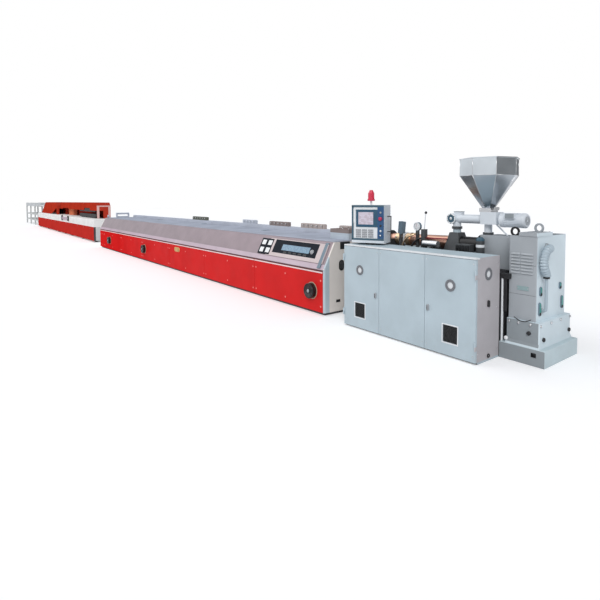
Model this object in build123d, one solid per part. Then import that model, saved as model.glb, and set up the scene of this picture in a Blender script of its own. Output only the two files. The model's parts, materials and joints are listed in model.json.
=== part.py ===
"""A profile extrusion line: extruder, calibration table, haul-off with cutter, and stacker."""

import math
import os

from build123d import *

# All sizes are in millimetres. The line runs along x with the extruder at its high end,
# the operator stands on the -y side, and the floor is z = 0. Stations along x are counted
# from the cabinet's end face beside the gear tower, and save() centres the whole line.

# Extruder cabinet
MACHINE_WIDTH = 1520
CABINET_LENGTH = 1915
CABINET_HEIGHT = 1030
SIDE_DEPTH = 407
CABINET_WALL = 30
PLINTH_HEIGHT = 18
PLINTH_SETBACK = 10
LEFT_DOOR_WIDTH = 617
RIGHT_DOOR_WIDTH = 620
DOOR_THICKNESS = 24
DOOR_GAP = 5
TOP_LIP = 14
TROUGH_FLOOR = 860
SEAT_GAP = 0.5
HINGE_RADIUS = 9
HINGE_LENGTH = 42
HINGE_INSET = 120
HINGE_STRAP = 4
RING_DIAMETER = 120
RING_HEIGHT = 733
RING_WIDTH = 26
RING_RISE = 7
VENT_SIZE = 176
VENT_BOTTOM = 150
VENT_INSET = 205
VENT_FRAME = 12
VENT_RISE = 4
VENT_POCKET = 8
HANDLE_LENGTH = 66
HANDLE_WIDTH = 26
HANDLE_RISE = 22
HANDLE_HEIGHT = 465
HANDLE_INSET = 45
END_HANDLE_HEIGHT = 571
END_RING_HEIGHT = 862
PLATE_THICKNESS = 6
PLATE_MARGIN = 35
SWITCH_ROWS = 3
SWITCH_DEPTH = 70
SWITCH_HEIGHT = 110

# Barrel, die and feed throat
BARREL_HEIGHT = 1078
BARREL_START = -405
BARREL_END = -1800
BARREL_REAR_RADIUS = 84
BARREL_FRONT_RADIUS = 64
BARREL_FLANGE_RADIUS = 118
BARREL_FLANGE = 34
SADDLE_LENGTH = 90
SADDLE_HALF_WIDTH = 140
SADDLE_STATIONS = (-1000, -1742)
BAND_START = -1440
BAND_WIDTH = 68
BAND_PITCH = 86
BAND_COUNT = 3
BAND_RISE = 13
BLOWER_X = -1514
BLOWER_Y = -130
BLOWER_SIZE = 66
BLOWER_HEIGHT = 150
BLOWER_BOTTOM = 1160
BLOWER_TILT = 6
POST_WIDTH = 34
GAUGE_X = -1253
GAUGE_HEIGHT = 1258
GAUGE_RADIUS = 52
GAUGE_DEPTH = 34
FITTINGS_Y = -130
VALVE_X = -1150
VALVE_WIDTH = 56
VALVE_TOP = 1228
LEVER_TIP = (24, 216)
LEVER_RADIUS = 6
MANIFOLD_X = -981
MANIFOLD_Y = -215
MANIFOLD_LENGTH = 210
MANIFOLD_RADIUS = 38
MANIFOLD_HEIGHT = 1068
DIE_LENGTH = 330
DIE_RADIUS = 104
DIE_MOUTH_WIDTH = 260
DIE_MOUTH_HEIGHT = 120
FEED_X = -765
FEED_WIDTH = 120
FEED_DEPTH = 130
FEED_TOP = 1205
FEED_BOTTOM = 990
FEED_FLARE = 50

# Drive box and gear tower
DRIVE_START = -330
DRIVE_WIDTH = 300
DRIVE_TOP = 1200
COUPLING_WIDTH = 150
PUMP_X = -317
PUMP_Y = -212
PUMP_RADIUS = 45
PUMP_TOP = 1183
COOLER_X = -510
COOLER_LENGTH = 180
COOLER_DEPTH = 90
COOLER_TOP = 1096
TOWER_START = 70
TOWER_LENGTH = 285
TOWER_WIDTH = 600
TOWER_BOTTOM = 410
TOWER_TOP = 1232
TOWER_CAP_HEIGHT = 34
TOWER_CAP_LENGTH = 185
TOWER_CAP_OVERHANG = 6
LOWER_LENGTH = 335
LOWER_WIDTH = 660
FOOT_FLANGE = 32
FOOT_FLARE = 16
BASE_LENGTH = 466
BASE_WIDTH = 704
BASE_HEIGHT = 165
LOUVRE_COUNT = 7
LOUVRE_PITCH = 31
LOUVRE_DEPTH = 12
LOUVRE_THICKNESS = 14
LOUVRE_TOP = 1065
LOUVRE_WIDTHS = (88, 120)
LOUVRE_MARGIN = 26
EYE_RADIUS = 38
EYE_WIRE = 9
EYE_PLACES = ((109, -262), (265, -90))
BLANK_PLATE = (119, 41)
BLANK_PLATE_X = 219
BLANK_PLATE_HEIGHT = 722
BLANK_PLATE_THICKNESS = 4
BOW_RADIUS = 40
BOW_STANDOFF = 50
BOW_POINTS = ((-120, 1115), (-215, 1095), (-262, 1010), (-250, 930), (-205, 860))
OIL_PIPE_RADIUS = 16
OIL_PIPE_LOW = 512
GLASS_WIDTH = 40
GLASS_DEPTH = 14
SIGHT_GLASSES = ((-225, 701, 90), (-238, 530, 130), (181, 713, 70), (224, 540, 130))
CONDUIT_WIDTH = 18
CONDUIT_Y = -330
CONDUIT_INSET = 12
CONDUIT_TOP = 800
CONDUIT_BOX_HEIGHT = 52
CONDUIT_REACH = 30
CABLE_DUCT_LOW = 470
BASE_POCKET = (52, 44, 30)
BASE_POCKET_PLACE = (363, 105)

# Hopper, screw feeder and motor
FEEDER_HEIGHT = 1366
FEEDER_RADIUS = 50
TEE_X = -800
TEE_RADIUS = 62
TEE_LENGTH = 150
INLET_X = -740
INLET_LENGTH = 100
INLET_WIDTH = 60
INLET_TOP = 1445
SPOUT_RADIUS = 46
SPOUT_FLANGE = 14
HOPPER_X = -355
HOPPER_RADIUS = 316
HOPPER_TOP = 2033
HOPPER_SHOULDER = 1845
HOPPER_MOUTH_RADIUS = 66
HOPPER_MOUTH = 1494
HOPPER_WALL = 4
HOPPER_RIM = 9
GATE_FRAME_WIDTH = 144
GATE_THICKNESS = 6
GATE_WIDTH = 96
GATE_PULL = 30
RUNNING_GAP = 0.5
THROAT_WIDTH = 176
THROAT_LEFT = 58
THROAT_RIGHT = 138
THROAT_TOP = 1450
THROAT_HEIGHT = 134
NECK_RADIUS = 42
NECK_FLANGE_RADIUS = 58
NECK_FLANGE = 24
STRUT_RADIUS = 8
STRUT_FOOT = 96
MOTOR_COUPLING = 28
MOTOR_FLANGE = 42
MOTOR_RADIUS = 72
MOTOR_LENGTH = 243
MOTOR_COWL = 56
TERMINAL_LENGTH = 105
TERMINAL_REACH = 22
TERMINAL_LOW = 20
TERMINAL_HEIGHT = 58

# Control box on its turning foot
CONTROL_X = -1682
CONTROL_Y = -516
CONTROL_TURN = 24
CONTROL_WIDTH = 430
CONTROL_HEIGHT = 468
CONTROL_DEPTH = 235
CONTROL_BEZEL = 12
CONTROL_FOOT_HEIGHT = 25
CONTROL_FOOT_RADIUS = 70
SCREEN_WIDTH = 262
SCREEN_HEIGHT = 188
BEACON_RADIUS = 46
BEACON_HEIGHT = 136
BEACON_BASE = 26
BEACON_STEM_RADIUS = 14
BEACON_STEM = 50

# Calibration table
TABLE_GAP = 485
TABLE_LENGTH = 12430
TABLE_WIDTH = 1404
TABLE_DECK_WIDTH = 1030
TABLE_DECK_HEIGHT = 1000
TABLE_PANEL_TOP = 612
TABLE_PANEL_BOTTOM = 40
TABLE_PLINTH_SETBACK = 45
TABLE_TRIM_HEIGHT = 18
TABLE_FIRST_PANEL = 1886
TABLE_PANEL_LENGTH = 1990
TABLE_PANEL_THICKNESS = 18
TABLE_PANEL_GAP = 8
DECK_PLATE_THICKNESS = 12
DECK_PLATE_COUNT = 6
DECK_PLATE_GAP = 10
DECK_PLATE_MARGIN = 40
TABLE_DUCT_WIDTH = 130
TABLE_DUCT_HEIGHT = 80
PORTHOLE_DIAMETER = 214
PORTHOLE_HEIGHT = 320
PORTHOLE_RING = 18
PORTHOLE_RISE = 72
PORTHOLE_SINK = 8
PORTHOLE_STATIONS = (-2680, -10060, -13540)
PORTHOLE_KNOB = 24
PORTHOLE_KNOB_RISE = 14
OVAL_PLATE = (300, 100)
OVAL_PLATE_PLACE = (-7751, 488)
OVAL_PLATE_RISE = 8
END_COVER = (92, 150)
END_COVER_PLACE = (-396, 677)
END_COVER_RISE = 6
END_CORNER = 25
END_POCKET = (75, 40, 12)
END_POCKET_PLACE = (-455, 183)
ROLLER_RADIUS = 30
ROLLER_LENGTH = 360
ROLLER_CHEEK = 24
ROLLER_INSET = 150
ROLLER_GAP = 60
TABLE_PASS_RISE = 73
HAND_WHEEL_RADIUS = 46
HAND_WHEEL_Y = -455
HAND_WHEEL_WIDTH = 26
HAND_WHEEL_RISE = 48
CONSOLE_LENGTH = 1500
CONSOLE_INSET = 90
CONSOLE_RISE = 14
CONSOLE_LOW = 0.2
CONSOLE_HIGH = 0.9
END_TRIM = 30
CALIBRATOR_LENGTH = 420
CALIBRATOR_WIDTH = 380
CALIBRATOR_HEIGHT = 150
CALIBRATOR_SLOT = 40
CLAMPS = ((-3275, 270), (-4175, 690), (-5290, 680), (-6490, 540), (-9125, 870))
CLAMP_WIDTH = 70
CLAMP_HEIGHT = 85

# Haul-off and cutter
HAUL_GAP = 2120
HAUL_WIDTH = 900
HAUL_BASE_TOP = 585
HAUL_BOTTOM = 55
HAUL_DECK = 280
HAUL_DECK_EDGE = 40
HAUL_FOOT = 110
HAUL_FOOT_PLATE = 18
HAUL_END_PLATE = 18
HAUL_MODULES = (4730, 3300, 6870)
HAUL_MODULE_GAP = 10
HOOD_FRONT = -90
HOOD_BACK = 430
HOOD_TOP = 1520
HOOD_WALL = 14
HOOD_CHAMFER = 170
PULL_HOOD_INSET = 1080
PULL_HOOD_LENGTH = 8140
HOOD_PASS_WIDTH = 300
HOOD_PASS_HEIGHT = 320
CUTTER_FRONT = -250
CUTTER_SLANT = 1700
HOOD_GAP = 60
TRACK_LENGTH = 3100
TRACK_HEIGHT = 150
TRACK_WIDTH = 140
TRACK_INSET = 300
CARRIER_WIDTH = 70
TRACK_GAP = 90
PASS_HEIGHT = 1085
PULL_WINDOW = (-20400, -19280)
PULL_WINDOW_TOP = 1285
CUTTER_WINDOW = (-28200, -26400)
CUTTER_WINDOW_TOP = 1215
SAW_WINDOW = (-25600, -24100)
SAW_WINDOW_TOP = 1230
SAW_MARGIN = 120
SAW_FRONT = 180
SAW_WIDTH = 160
SAW_TOP = 1190
WHEEL_STATIONS = (-23414, -21912)
WHEEL_RADIUS = 125
WHEEL_WIDTH = 42
WHEEL_HEIGHT = 778
WHEEL_BOX_DEPTH = 34
WHEEL_BOX_RANGE = (700, 835)

# Stacker
STACKER_GAP = 300
STACKER_LENGTH = 6400
STACKER_WIDTH = 760
STACKER_TUBE = 80
STACKER_RAILS = (290, 676)
STACKER_TRAY_TOP = 1480
STACKER_TRAY_DEPTH = 240
STACKER_TRAY_WALL = 8
STACKER_TRAY_REACH = 180
STACKER_LEGS = 3
STACKER_LEG_INSET = 2000

# Places worked out from the sizes above
HALF_WIDTH = MACHINE_WIDTH / 2
SHELL_HALF = HALF_WIDTH - DOOR_THICKNESS
TROUGH_HALF = HALF_WIDTH - SIDE_DEPTH
BASE_START = DOOR_GAP
RIGHT_END = BASE_START + BASE_LENGTH
TABLE_START = -CABINET_LENGTH - TABLE_GAP
TABLE_END = TABLE_START - TABLE_LENGTH
HAUL_START = TABLE_END - HAUL_GAP
HAUL_END = HAUL_START - sum(HAUL_MODULES)
HAUL_DECK_TOP = HAUL_BASE_TOP + HAUL_DECK
STACKER_START = HAUL_END - STACKER_GAP
STACKER_END = STACKER_START - STACKER_LENGTH
LINE_SHIFT = -(RIGHT_END + STACKER_END) / 2
OPERATOR_SIDE = (0, -1, 0)
FAR_SIDE = (0, 1, 0)
UP = (0, 0, 1)
OCTAGON_SIDES = 8


def block(x_range, y_range, z_range):
    """A square block between two values on each axis."""
    spans = [sorted(span) for span in (x_range, y_range, z_range)]
    sizes = [high - low for low, high in spans]
    middles = [(low + high) / 2 for low, high in spans]
    return Pos(*middles) * Box(*sizes)


def rod(start, end, radius):
    """A round bar between two points."""
    path = Line(start, end)
    return extrude(Plane(origin=start, z_dir=path % 0) * Circle(radius), amount=path.length)


def prism_along_x(section, x_low, x_high):
    """A prism along x from a section given as (y, z) points."""
    outline = Polyline(*[(x_low, y, z) for y, z in section], close=True)
    return extrude(make_face(outline), amount=x_high - x_low, dir=(1, 0, 0))


def sloped_wedge(low_half, high_half, low, high, half_depth):
    """A trapezoid across x, drawn out along y to half_depth on each side."""
    outline = Polyline(
        (-low_half, -half_depth, low),
        (low_half, -half_depth, low),
        (high_half, -half_depth, high),
        (-high_half, -half_depth, high),
        close=True,
    )
    return extrude(make_face(outline), amount=2 * half_depth, dir=FAR_SIDE)


def tapered_block(low_size, high_size, low, high):
    """A block about the z axis whose (x, y) size changes evenly from low to high."""
    half_depth = max(*low_size, *high_size)
    along = sloped_wedge(low_size[0] / 2, high_size[0] / 2, low, high, half_depth)
    across = sloped_wedge(low_size[1] / 2, high_size[1] / 2, low, high, half_depth)
    return along & (Rot(0, 0, 90) * across)


def turned_about_x(profile, height):
    """A solid turned about a level axis along x, from (x, radius) points."""
    outline = Polyline(*[(x, 0, height + radius) for x, radius in profile], close=True)
    return revolve(make_face(outline), axis=Axis((0, 0, height), (1, 0, 0)))


def save(node, *shapes):
    """Write one sub-part, moved so that the whole line is centred on the origin."""
    solids = [solid for shape in shapes for solid in shape.solids()]
    placed = [Pos(LINE_SHIFT, 0, 0) * solid for solid in solids]
    shape = placed[0] if len(placed) == 1 else Compound(children=placed)
    export_step(shape, f"parts/{node}.step")


# Extruder cabinet


def door_span(side):
    """The x range of the left or the right door."""
    if side == "left":
        return -CABINET_LENGTH, -CABINET_LENGTH + LEFT_DOOR_WIDTH
    return -RIGHT_DOOR_WIDTH, 0


def hinge_edge(side):
    """The x of a door's hinged edge, and the way out of the cabinet there."""
    return (-CABINET_LENGTH, -1) if side == "left" else (0, 1)


def hinge_axis_y():
    """The y of the hinge pins, just proud of the closed doors."""
    return -HALF_WIDTH - HINGE_RADIUS - SEAT_GAP


def hinge_levels():
    """The heights at which the hinges start."""
    return PLINTH_HEIGHT + HINGE_INSET, CABINET_HEIGHT - HINGE_INSET - 2 * HINGE_LENGTH


def hinge_knuckle(side, level):
    """One half of a hinge barrel."""
    edge, _ = hinge_edge(side)
    return Pos(edge, hinge_axis_y(), level + HINGE_LENGTH / 2) * Cylinder(HINGE_RADIUS, HINGE_LENGTH)


def fixed_knuckles(side):
    """The lower hinge halves, each on a strap round the cabinet's end."""
    edge, outward = hinge_edge(side)
    pieces = []
    for level in hinge_levels():
        strap = block(
            (edge, edge + outward * HINGE_STRAP),
            (hinge_axis_y(), -SHELL_HALF + CABINET_WALL),
            (level, level + HINGE_LENGTH),
        )
        pieces.append(hinge_knuckle(side, level) + strap)
    return pieces


def moving_knuckles(side):
    """The upper hinge halves, each on a tab that meets the door leaf."""
    edge, outward = hinge_edge(side)
    pieces = []
    for fixed_level in hinge_levels():
        level = fixed_level + HINGE_LENGTH + SEAT_GAP
        tab = block(
            (edge - outward * SEAT_GAP, edge - outward * 2 * HINGE_RADIUS),
            (hinge_axis_y(), -HALF_WIDTH),
            (level, level + HINGE_LENGTH),
        )
        pieces.append(hinge_knuckle(side, level) + tab)
    return pieces


def raised_ring(plane):
    """A plain raised ring round a flat field."""
    outer = RING_DIAMETER / 2
    return extrude(plane * (Circle(outer) - Circle(outer - RING_WIDTH)), amount=RING_RISE)


def pull_handle(plane):
    """A latch handle with rounded ends, long along the plane's x."""
    bar = extrude(plane * SlotOverall(HANDLE_LENGTH, HANDLE_WIDTH), amount=HANDLE_RISE)
    top = bar.faces().sort_by(Axis(plane.origin, plane.z_dir))[-1].edges()
    return chamfer(top, HANDLE_RISE / 4)


def side_plane(x, height, facing):
    """A plane on the cabinet's outer face at x, with its x axis upright."""
    y = facing[1] * HALF_WIDTH
    return Plane(origin=(x, y, height), z_dir=facing, x_dir=UP)


def vented(panel, centre_x, facing):
    """Add a raised vent frame with a sunk field to a cabinet panel."""
    outward = facing[1]
    middle_z = VENT_BOTTOM + VENT_SIZE / 2
    frame_size = VENT_SIZE + 2 * VENT_FRAME
    frame_y = outward * (HALF_WIDTH + VENT_RISE / 2)
    frame = Pos(centre_x, frame_y, middle_z) * Box(frame_size, VENT_RISE, frame_size)
    pocket = block(
        (centre_x - VENT_SIZE / 2, centre_x + VENT_SIZE / 2),
        (outward * (HALF_WIDTH + VENT_RISE), outward * (HALF_WIDTH - VENT_POCKET)),
        (VENT_BOTTOM, VENT_BOTTOM + VENT_SIZE),
    )
    return panel + frame - pocket


def cabinet_panel(side, facing):
    """A door leaf or the like cover of the far side, with vent, ring and latch handle."""
    low, high = door_span(side)
    edge, outward = hinge_edge(side)
    free_edge = high if side == "left" else low
    leaf = block(
        (edge - outward * SEAT_GAP, free_edge + outward * DOOR_GAP / 2),
        (facing[1] * HALF_WIDTH, facing[1] * (SHELL_HALF + SEAT_GAP)),
        (PLINTH_HEIGHT, CABINET_HEIGHT - TOP_LIP - DOOR_GAP),
    )
    fittings_x = edge - outward * (VENT_INSET + VENT_SIZE / 2)
    handle_x = free_edge + outward * (DOOR_GAP + HANDLE_INSET)
    leaf = vented(leaf, fittings_x, facing)
    leaf += raised_ring(side_plane(fittings_x, RING_HEIGHT, facing))
    return leaf + pull_handle(side_plane(handle_x, HANDLE_HEIGHT, facing))


def hinged_door(side):
    """A front door with its own hinge halves."""
    door = cabinet_panel(side, OPERATOR_SIDE)
    for knuckle in moving_knuckles(side):
        door += knuckle
    return door


def middle_panel(facing):
    """The fixed panel between the two doors."""
    left_high = door_span("left")[1]
    right_low = door_span("right")[0]
    return block(
        (left_high + DOOR_GAP / 2, right_low - DOOR_GAP / 2),
        (facing[1] * HALF_WIDTH, facing[1] * SHELL_HALF),
        (PLINTH_HEIGHT, CABINET_HEIGHT - TOP_LIP - DOOR_GAP),
    )


def side_housing(facing):
    """The outside of one side cabinet, with its top lip and recessed plinth."""
    outward = facing[1]
    body = block((-CABINET_LENGTH, 0), (outward * SHELL_HALF, outward * TROUGH_HALF), (0, CABINET_HEIGHT))
    lip = block(
        (-CABINET_LENGTH, 0),
        (outward * HALF_WIDTH, outward * TROUGH_HALF),
        (CABINET_HEIGHT - TOP_LIP, CABINET_HEIGHT),
    )
    toe = block(
        (-CABINET_LENGTH, 0),
        (outward * SHELL_HALF, outward * (SHELL_HALF - PLINTH_SETBACK)),
        (0, PLINTH_HEIGHT),
    )
    return body + lip - toe


def door_bay(side):
    """The room behind one door."""
    low, high = door_span(side)
    return block(
        (low + CABINET_WALL, high - CABINET_WALL),
        (-SHELL_HALF, -TROUGH_HALF - CABINET_WALL),
        (PLINTH_HEIGHT + CABINET_WALL, CABINET_HEIGHT - CABINET_WALL),
    )


def front_shell():
    """The operator's side cabinet, open behind each door, with fixed hinge halves."""
    shell = side_housing(OPERATOR_SIDE)
    for side in ("left", "right"):
        shell -= door_bay(side)
        for knuckle in fixed_knuckles(side):
            shell += knuckle
    middle_y = -(HALF_WIDTH + TROUGH_HALF) / 2
    ring_plane = Plane(origin=(0, middle_y, END_RING_HEIGHT), z_dir=(1, 0, 0))
    handle_plane = Plane(origin=(0, middle_y, END_HANDLE_HEIGHT), z_dir=(1, 0, 0), x_dir=UP)
    return shell + raised_ring(ring_plane) + pull_handle(handle_plane) + control_foot()


def switch_plate(side):
    """The mounting plate at the back of a door bay, with rows of plain switchgear."""
    bay = door_bay(side).bounding_box()
    back = bay.max.Y
    plate = block(
        (bay.min.X + PLATE_MARGIN, bay.max.X - PLATE_MARGIN),
        (back - PLATE_THICKNESS, back),
        (bay.min.Z + PLATE_MARGIN, bay.max.Z - PLATE_MARGIN),
    )
    room = bay.max.Z - bay.min.Z - 2 * PLATE_MARGIN
    pitch = room / SWITCH_ROWS
    for row in range(SWITCH_ROWS):
        middle = bay.min.Z + PLATE_MARGIN + pitch * (row + 0.5)
        plate += block(
            (bay.min.X + 2 * PLATE_MARGIN, bay.max.X - 2 * PLATE_MARGIN),
            (back - PLATE_THICKNESS - SWITCH_DEPTH, back - PLATE_THICKNESS),
            (middle - SWITCH_HEIGHT / 2, middle + SWITCH_HEIGHT / 2),
        )
    return plate


def centre_frame():
    """The machine frame between the side cabinets, whose top is the barrel's trough."""
    return block((-CABINET_LENGTH, 0), (-TROUGH_HALF, TROUGH_HALF), (0, TROUGH_FLOOR))


# Barrel, die and feed throat


def barrel_radius(x):
    """The barrel's outer radius, which tapers from the feed throat to the die."""
    share = (FEED_X - x) / (FEED_X - BARREL_END)
    share = min(max(share, 0), 1)
    return BARREL_REAR_RADIUS + share * (BARREL_FRONT_RADIUS - BARREL_REAR_RADIUS)


def bare_barrel():
    """The conical twin-screw barrel with its rear flange, turned in one piece."""
    profile = [
        (BARREL_START, 0),
        (BARREL_START, BARREL_FLANGE_RADIUS),
        (BARREL_START - BARREL_FLANGE, BARREL_FLANGE_RADIUS),
        (BARREL_START - BARREL_FLANGE, BARREL_REAR_RADIUS),
        (FEED_X, BARREL_REAR_RADIUS),
        (BARREL_END, BARREL_FRONT_RADIUS),
        (BARREL_END, 0),
    ]
    return turned_about_x(profile, BARREL_HEIGHT)


def barrel():
    """The barrel with its clamped heater rings, which step down with the taper."""
    heated = bare_barrel()
    for index in range(BAND_COUNT):
        high = BAND_START - index * BAND_PITCH
        radius = barrel_radius(high) + BAND_RISE
        heated += rod((high - BAND_WIDTH, 0, BARREL_HEIGHT), (high, 0, BARREL_HEIGHT), radius)
    return heated


def barrel_saddles():
    """Two saddles that carry the barrel off the trough's floor."""
    saddles = []
    for station in SADDLE_STATIONS:
        saddle = block(
            (station - SADDLE_LENGTH / 2, station + SADDLE_LENGTH / 2),
            (-SADDLE_HALF_WIDTH, SADDLE_HALF_WIDTH),
            (TROUGH_FLOOR, BARREL_HEIGHT),
        )
        saddles.append(saddle - bare_barrel())
    return saddles


def die_head():
    """The die on the barrel's front end, drawn out to a wide flat mouth."""
    start = BARREL_END - BARREL_FLANGE
    collar = rod((start, 0, BARREL_HEIGHT), (BARREL_END, 0, BARREL_HEIGHT), DIE_RADIUS)
    back_size = 1.5 * DIE_RADIUS
    mouth = tapered_block((back_size, back_size), (DIE_MOUTH_HEIGHT, DIE_MOUTH_WIDTH), 0, DIE_LENGTH)
    return collar + Pos(start, 0, BARREL_HEIGHT) * Rot(0, -90, 0) * mouth


def feed_housing():
    """The feed throat's housing, flared at the foot and seated on the barrel."""
    foot = (FEED_WIDTH + 2 * FEED_FLARE, FEED_DEPTH + 2 * FEED_FLARE)
    housing = tapered_block(foot, (FEED_WIDTH, FEED_DEPTH), FEED_BOTTOM, FEED_TOP)
    return Pos(FEED_X, 0, 0) * housing - bare_barrel()


def post(x, y, top):
    """A square post on the trough's floor."""
    half = POST_WIDTH / 2
    return block((x - half, x + half), (y - half, y + half), (TROUGH_FLOOR, top))


def blower():
    """The tilted fan box above the heater rings, on its own post."""
    box = Pos(BLOWER_X, BLOWER_Y, BLOWER_BOTTOM + BLOWER_HEIGHT / 2) * Rot(0, BLOWER_TILT, 0)
    housing = box * Box(BLOWER_SIZE, BLOWER_SIZE, BLOWER_HEIGHT)
    return housing + post(BLOWER_X, BLOWER_Y - BLOWER_SIZE / 4, BLOWER_BOTTOM + BLOWER_HEIGHT / 2)


def gauge():
    """A dial gauge that faces the operator, on a square post."""
    front = FITTINGS_Y - GAUGE_DEPTH / 2
    dial = rod((GAUGE_X, front, GAUGE_HEIGHT), (GAUGE_X, front + GAUGE_DEPTH, GAUGE_HEIGHT), GAUGE_RADIUS)
    return dial + post(GAUGE_X, FITTINGS_Y, GAUGE_HEIGHT)


def lever_valve():
    """A square valve body with a leaning lever and its knob."""
    half = VALVE_WIDTH / 2
    body = block((VALVE_X - half, VALVE_X + half), (FITTINGS_Y - half, FITTINGS_Y + half), (TROUGH_FLOOR, VALVE_TOP))
    lean, rise = LEVER_TIP
    tip = (VALVE_X + lean, FITTINGS_Y, VALVE_TOP + rise)
    lever = rod((VALVE_X, FITTINGS_Y, VALVE_TOP - LEVER_RADIUS), tip, LEVER_RADIUS)
    knob = rod((tip[0], tip[1], tip[2] - 3 * LEVER_RADIUS), tip, 2 * LEVER_RADIUS)
    return body + lever + knob


def manifold():
    """The bright cross tube beside the barrel, on its own post."""
    half = MANIFOLD_LENGTH / 2
    tube = rod(
        (MANIFOLD_X - half, MANIFOLD_Y, MANIFOLD_HEIGHT),
        (MANIFOLD_X + half, MANIFOLD_Y, MANIFOLD_HEIGHT),
        MANIFOLD_RADIUS,
    )
    return tube + post(MANIFOLD_X, MANIFOLD_Y, MANIFOLD_HEIGHT)


def oil_pump():
    """The upright oil pump with its rounded head, beside the drive box."""
    body = rod((PUMP_X, PUMP_Y, TROUGH_FLOOR), (PUMP_X, PUMP_Y, PUMP_TOP), PUMP_RADIUS)
    return chamfer(body.faces().sort_by(Axis.Z)[-1].edges(), PUMP_RADIUS / 2)


def oil_cooler():
    """The oil cooler block beside the barrel's rear."""
    half = COOLER_LENGTH / 2
    return block(
        (COOLER_X - half, COOLER_X + half),
        (PUMP_Y - COOLER_DEPTH / 2, PUMP_Y + COOLER_DEPTH / 2),
        (TROUGH_FLOOR, COOLER_TOP),
    )


# Drive box and gear tower


def drive_box():
    """The box of distribution gears between the barrel and the gear tower."""
    half, coupling_half = DRIVE_WIDTH / 2, COUPLING_WIDTH / 2
    box = block((DRIVE_START, TOWER_START), (-half, half), (TROUGH_FLOOR, DRIVE_TOP))
    coupling = block((BARREL_START, DRIVE_START), (-coupling_half, coupling_half), (TROUGH_FLOOR, DRIVE_TOP))
    return box + coupling


def tower_louvres():
    """Two columns of sloping ribs on the tower's operator side."""
    ribs = []
    face = -TOWER_WIDTH / 2
    start = TOWER_START + LOUVRE_MARGIN
    for width in LOUVRE_WIDTHS:
        for index in range(LOUVRE_COUNT):
            top = LOUVRE_TOP - index * LOUVRE_PITCH
            section = [(face, top), (face - LOUVRE_DEPTH, top - LOUVRE_THICKNESS), (face, top - LOUVRE_THICKNESS)]
            ribs.append(prism_along_x(section, start, start + width))
        start += width + LOUVRE_MARGIN / 2
    return ribs


def gear_tower():
    """The reduction gear's upper housing with two stepped covers and louvred ribs."""
    end = TOWER_START + TOWER_LENGTH
    half = TOWER_WIDTH / 2
    body = block((TOWER_START, end), (-half, half), (TOWER_BOTTOM, TOWER_TOP))
    body = chamfer(body.edges().filter_by(Axis.Z), TOWER_CAP_OVERHANG)
    cap = block(
        (end - TOWER_CAP_LENGTH, end + TOWER_CAP_OVERHANG),
        (-half - TOWER_CAP_OVERHANG, 0),
        (TOWER_TOP, TOWER_TOP + TOWER_CAP_HEIGHT),
    )
    cap = fillet(cap.edges().filter_by(Axis.Z), TOWER_CAP_OVERHANG)
    tower = body + cap + blank_plate()
    for rib in tower_louvres():
        tower += rib
    for eye in lifting_eyes():
        tower += eye
    return tower


def blank_plate():
    """The bare plate below the ribs, on the operator's side."""
    length, height = BLANK_PLATE
    face = -TOWER_WIDTH / 2
    return block(
        (BLANK_PLATE_X - length / 2, BLANK_PLATE_X + length / 2),
        (face - BLANK_PLATE_THICKNESS, face),
        (BLANK_PLATE_HEIGHT - height / 2, BLANK_PLATE_HEIGHT + height / 2),
    )


def tower_foot():
    """The lower gear housing, with a flange that flares out onto the cast base."""
    end = TOWER_START + LOWER_LENGTH
    half = LOWER_WIDTH / 2
    body = block((TOWER_START, end), (-half, half), (BASE_HEIGHT, TOWER_BOTTOM))
    body = chamfer(body.edges().filter_by(Axis.Z), FOOT_FLARE / 2)
    foot_low = (LOWER_LENGTH + FOOT_FLARE, LOWER_WIDTH + 2 * FOOT_FLARE)
    foot_top = (LOWER_LENGTH - FOOT_FLARE, LOWER_WIDTH - FOOT_FLARE)
    flange = tapered_block(foot_low, foot_top, BASE_HEIGHT, BASE_HEIGHT + 2 * FOOT_FLANGE)
    return body + Pos((TOWER_START + end) / 2, 0, 0) * flange + base_plate()


def base_plate():
    """The cast base under the tower, with a lifting pocket in its front face."""
    front = -BASE_WIDTH / 2
    base = block((BASE_START, RIGHT_END), (front, -front), (0, BASE_HEIGHT))
    base = chamfer(base.faces().sort_by(Axis.Z)[-1].edges(), FOOT_FLARE / 3)
    length, height, depth = BASE_POCKET
    x, z = BASE_POCKET_PLACE
    pocket = block((x - length / 2, x + length / 2), (front, front + depth), (z - height / 2, z + height / 2))
    return base - pocket


def oil_pipes():
    """The thick pipe that bows out over the tower's end face, and the thin one below it."""
    face = TOWER_START + TOWER_LENGTH
    x = face + BOW_STANDOFF
    route = Polyline(*[(x, y, z) for y, z in BOW_POINTS])
    bow = sweep(Plane(origin=route @ 0, z_dir=route % 0) * Circle(BOW_RADIUS), path=route, transition=Transition.RIGHT)
    upper_y, upper_z = BOW_POINTS[0]
    inlet = rod((face, upper_y, upper_z), (x + BOW_RADIUS, upper_y, upper_z), BOW_RADIUS + EYE_WIRE)
    lower_y, lower_z = BOW_POINTS[-1]
    pipe = rod((x, lower_y, OIL_PIPE_LOW), (x, lower_y, lower_z + BOW_RADIUS), OIL_PIPE_RADIUS)
    outlet_end = (x + OIL_PIPE_RADIUS, lower_y, OIL_PIPE_LOW)
    outlet = rod((face, lower_y, OIL_PIPE_LOW), outlet_end, OIL_PIPE_RADIUS + EYE_WIRE)
    return bow + inlet + pipe + outlet


def sight_glasses():
    """The upright oval sight glasses on the tower's end face."""
    glasses = []
    for y, z, height in SIGHT_GLASSES:
        plane = Plane(origin=(TOWER_START + TOWER_LENGTH, y, z), x_dir=UP, z_dir=(1, 0, 0))
        glasses.append(extrude(plane * SlotOverall(height, GLASS_WIDTH), amount=GLASS_DEPTH))
    return glasses


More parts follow.
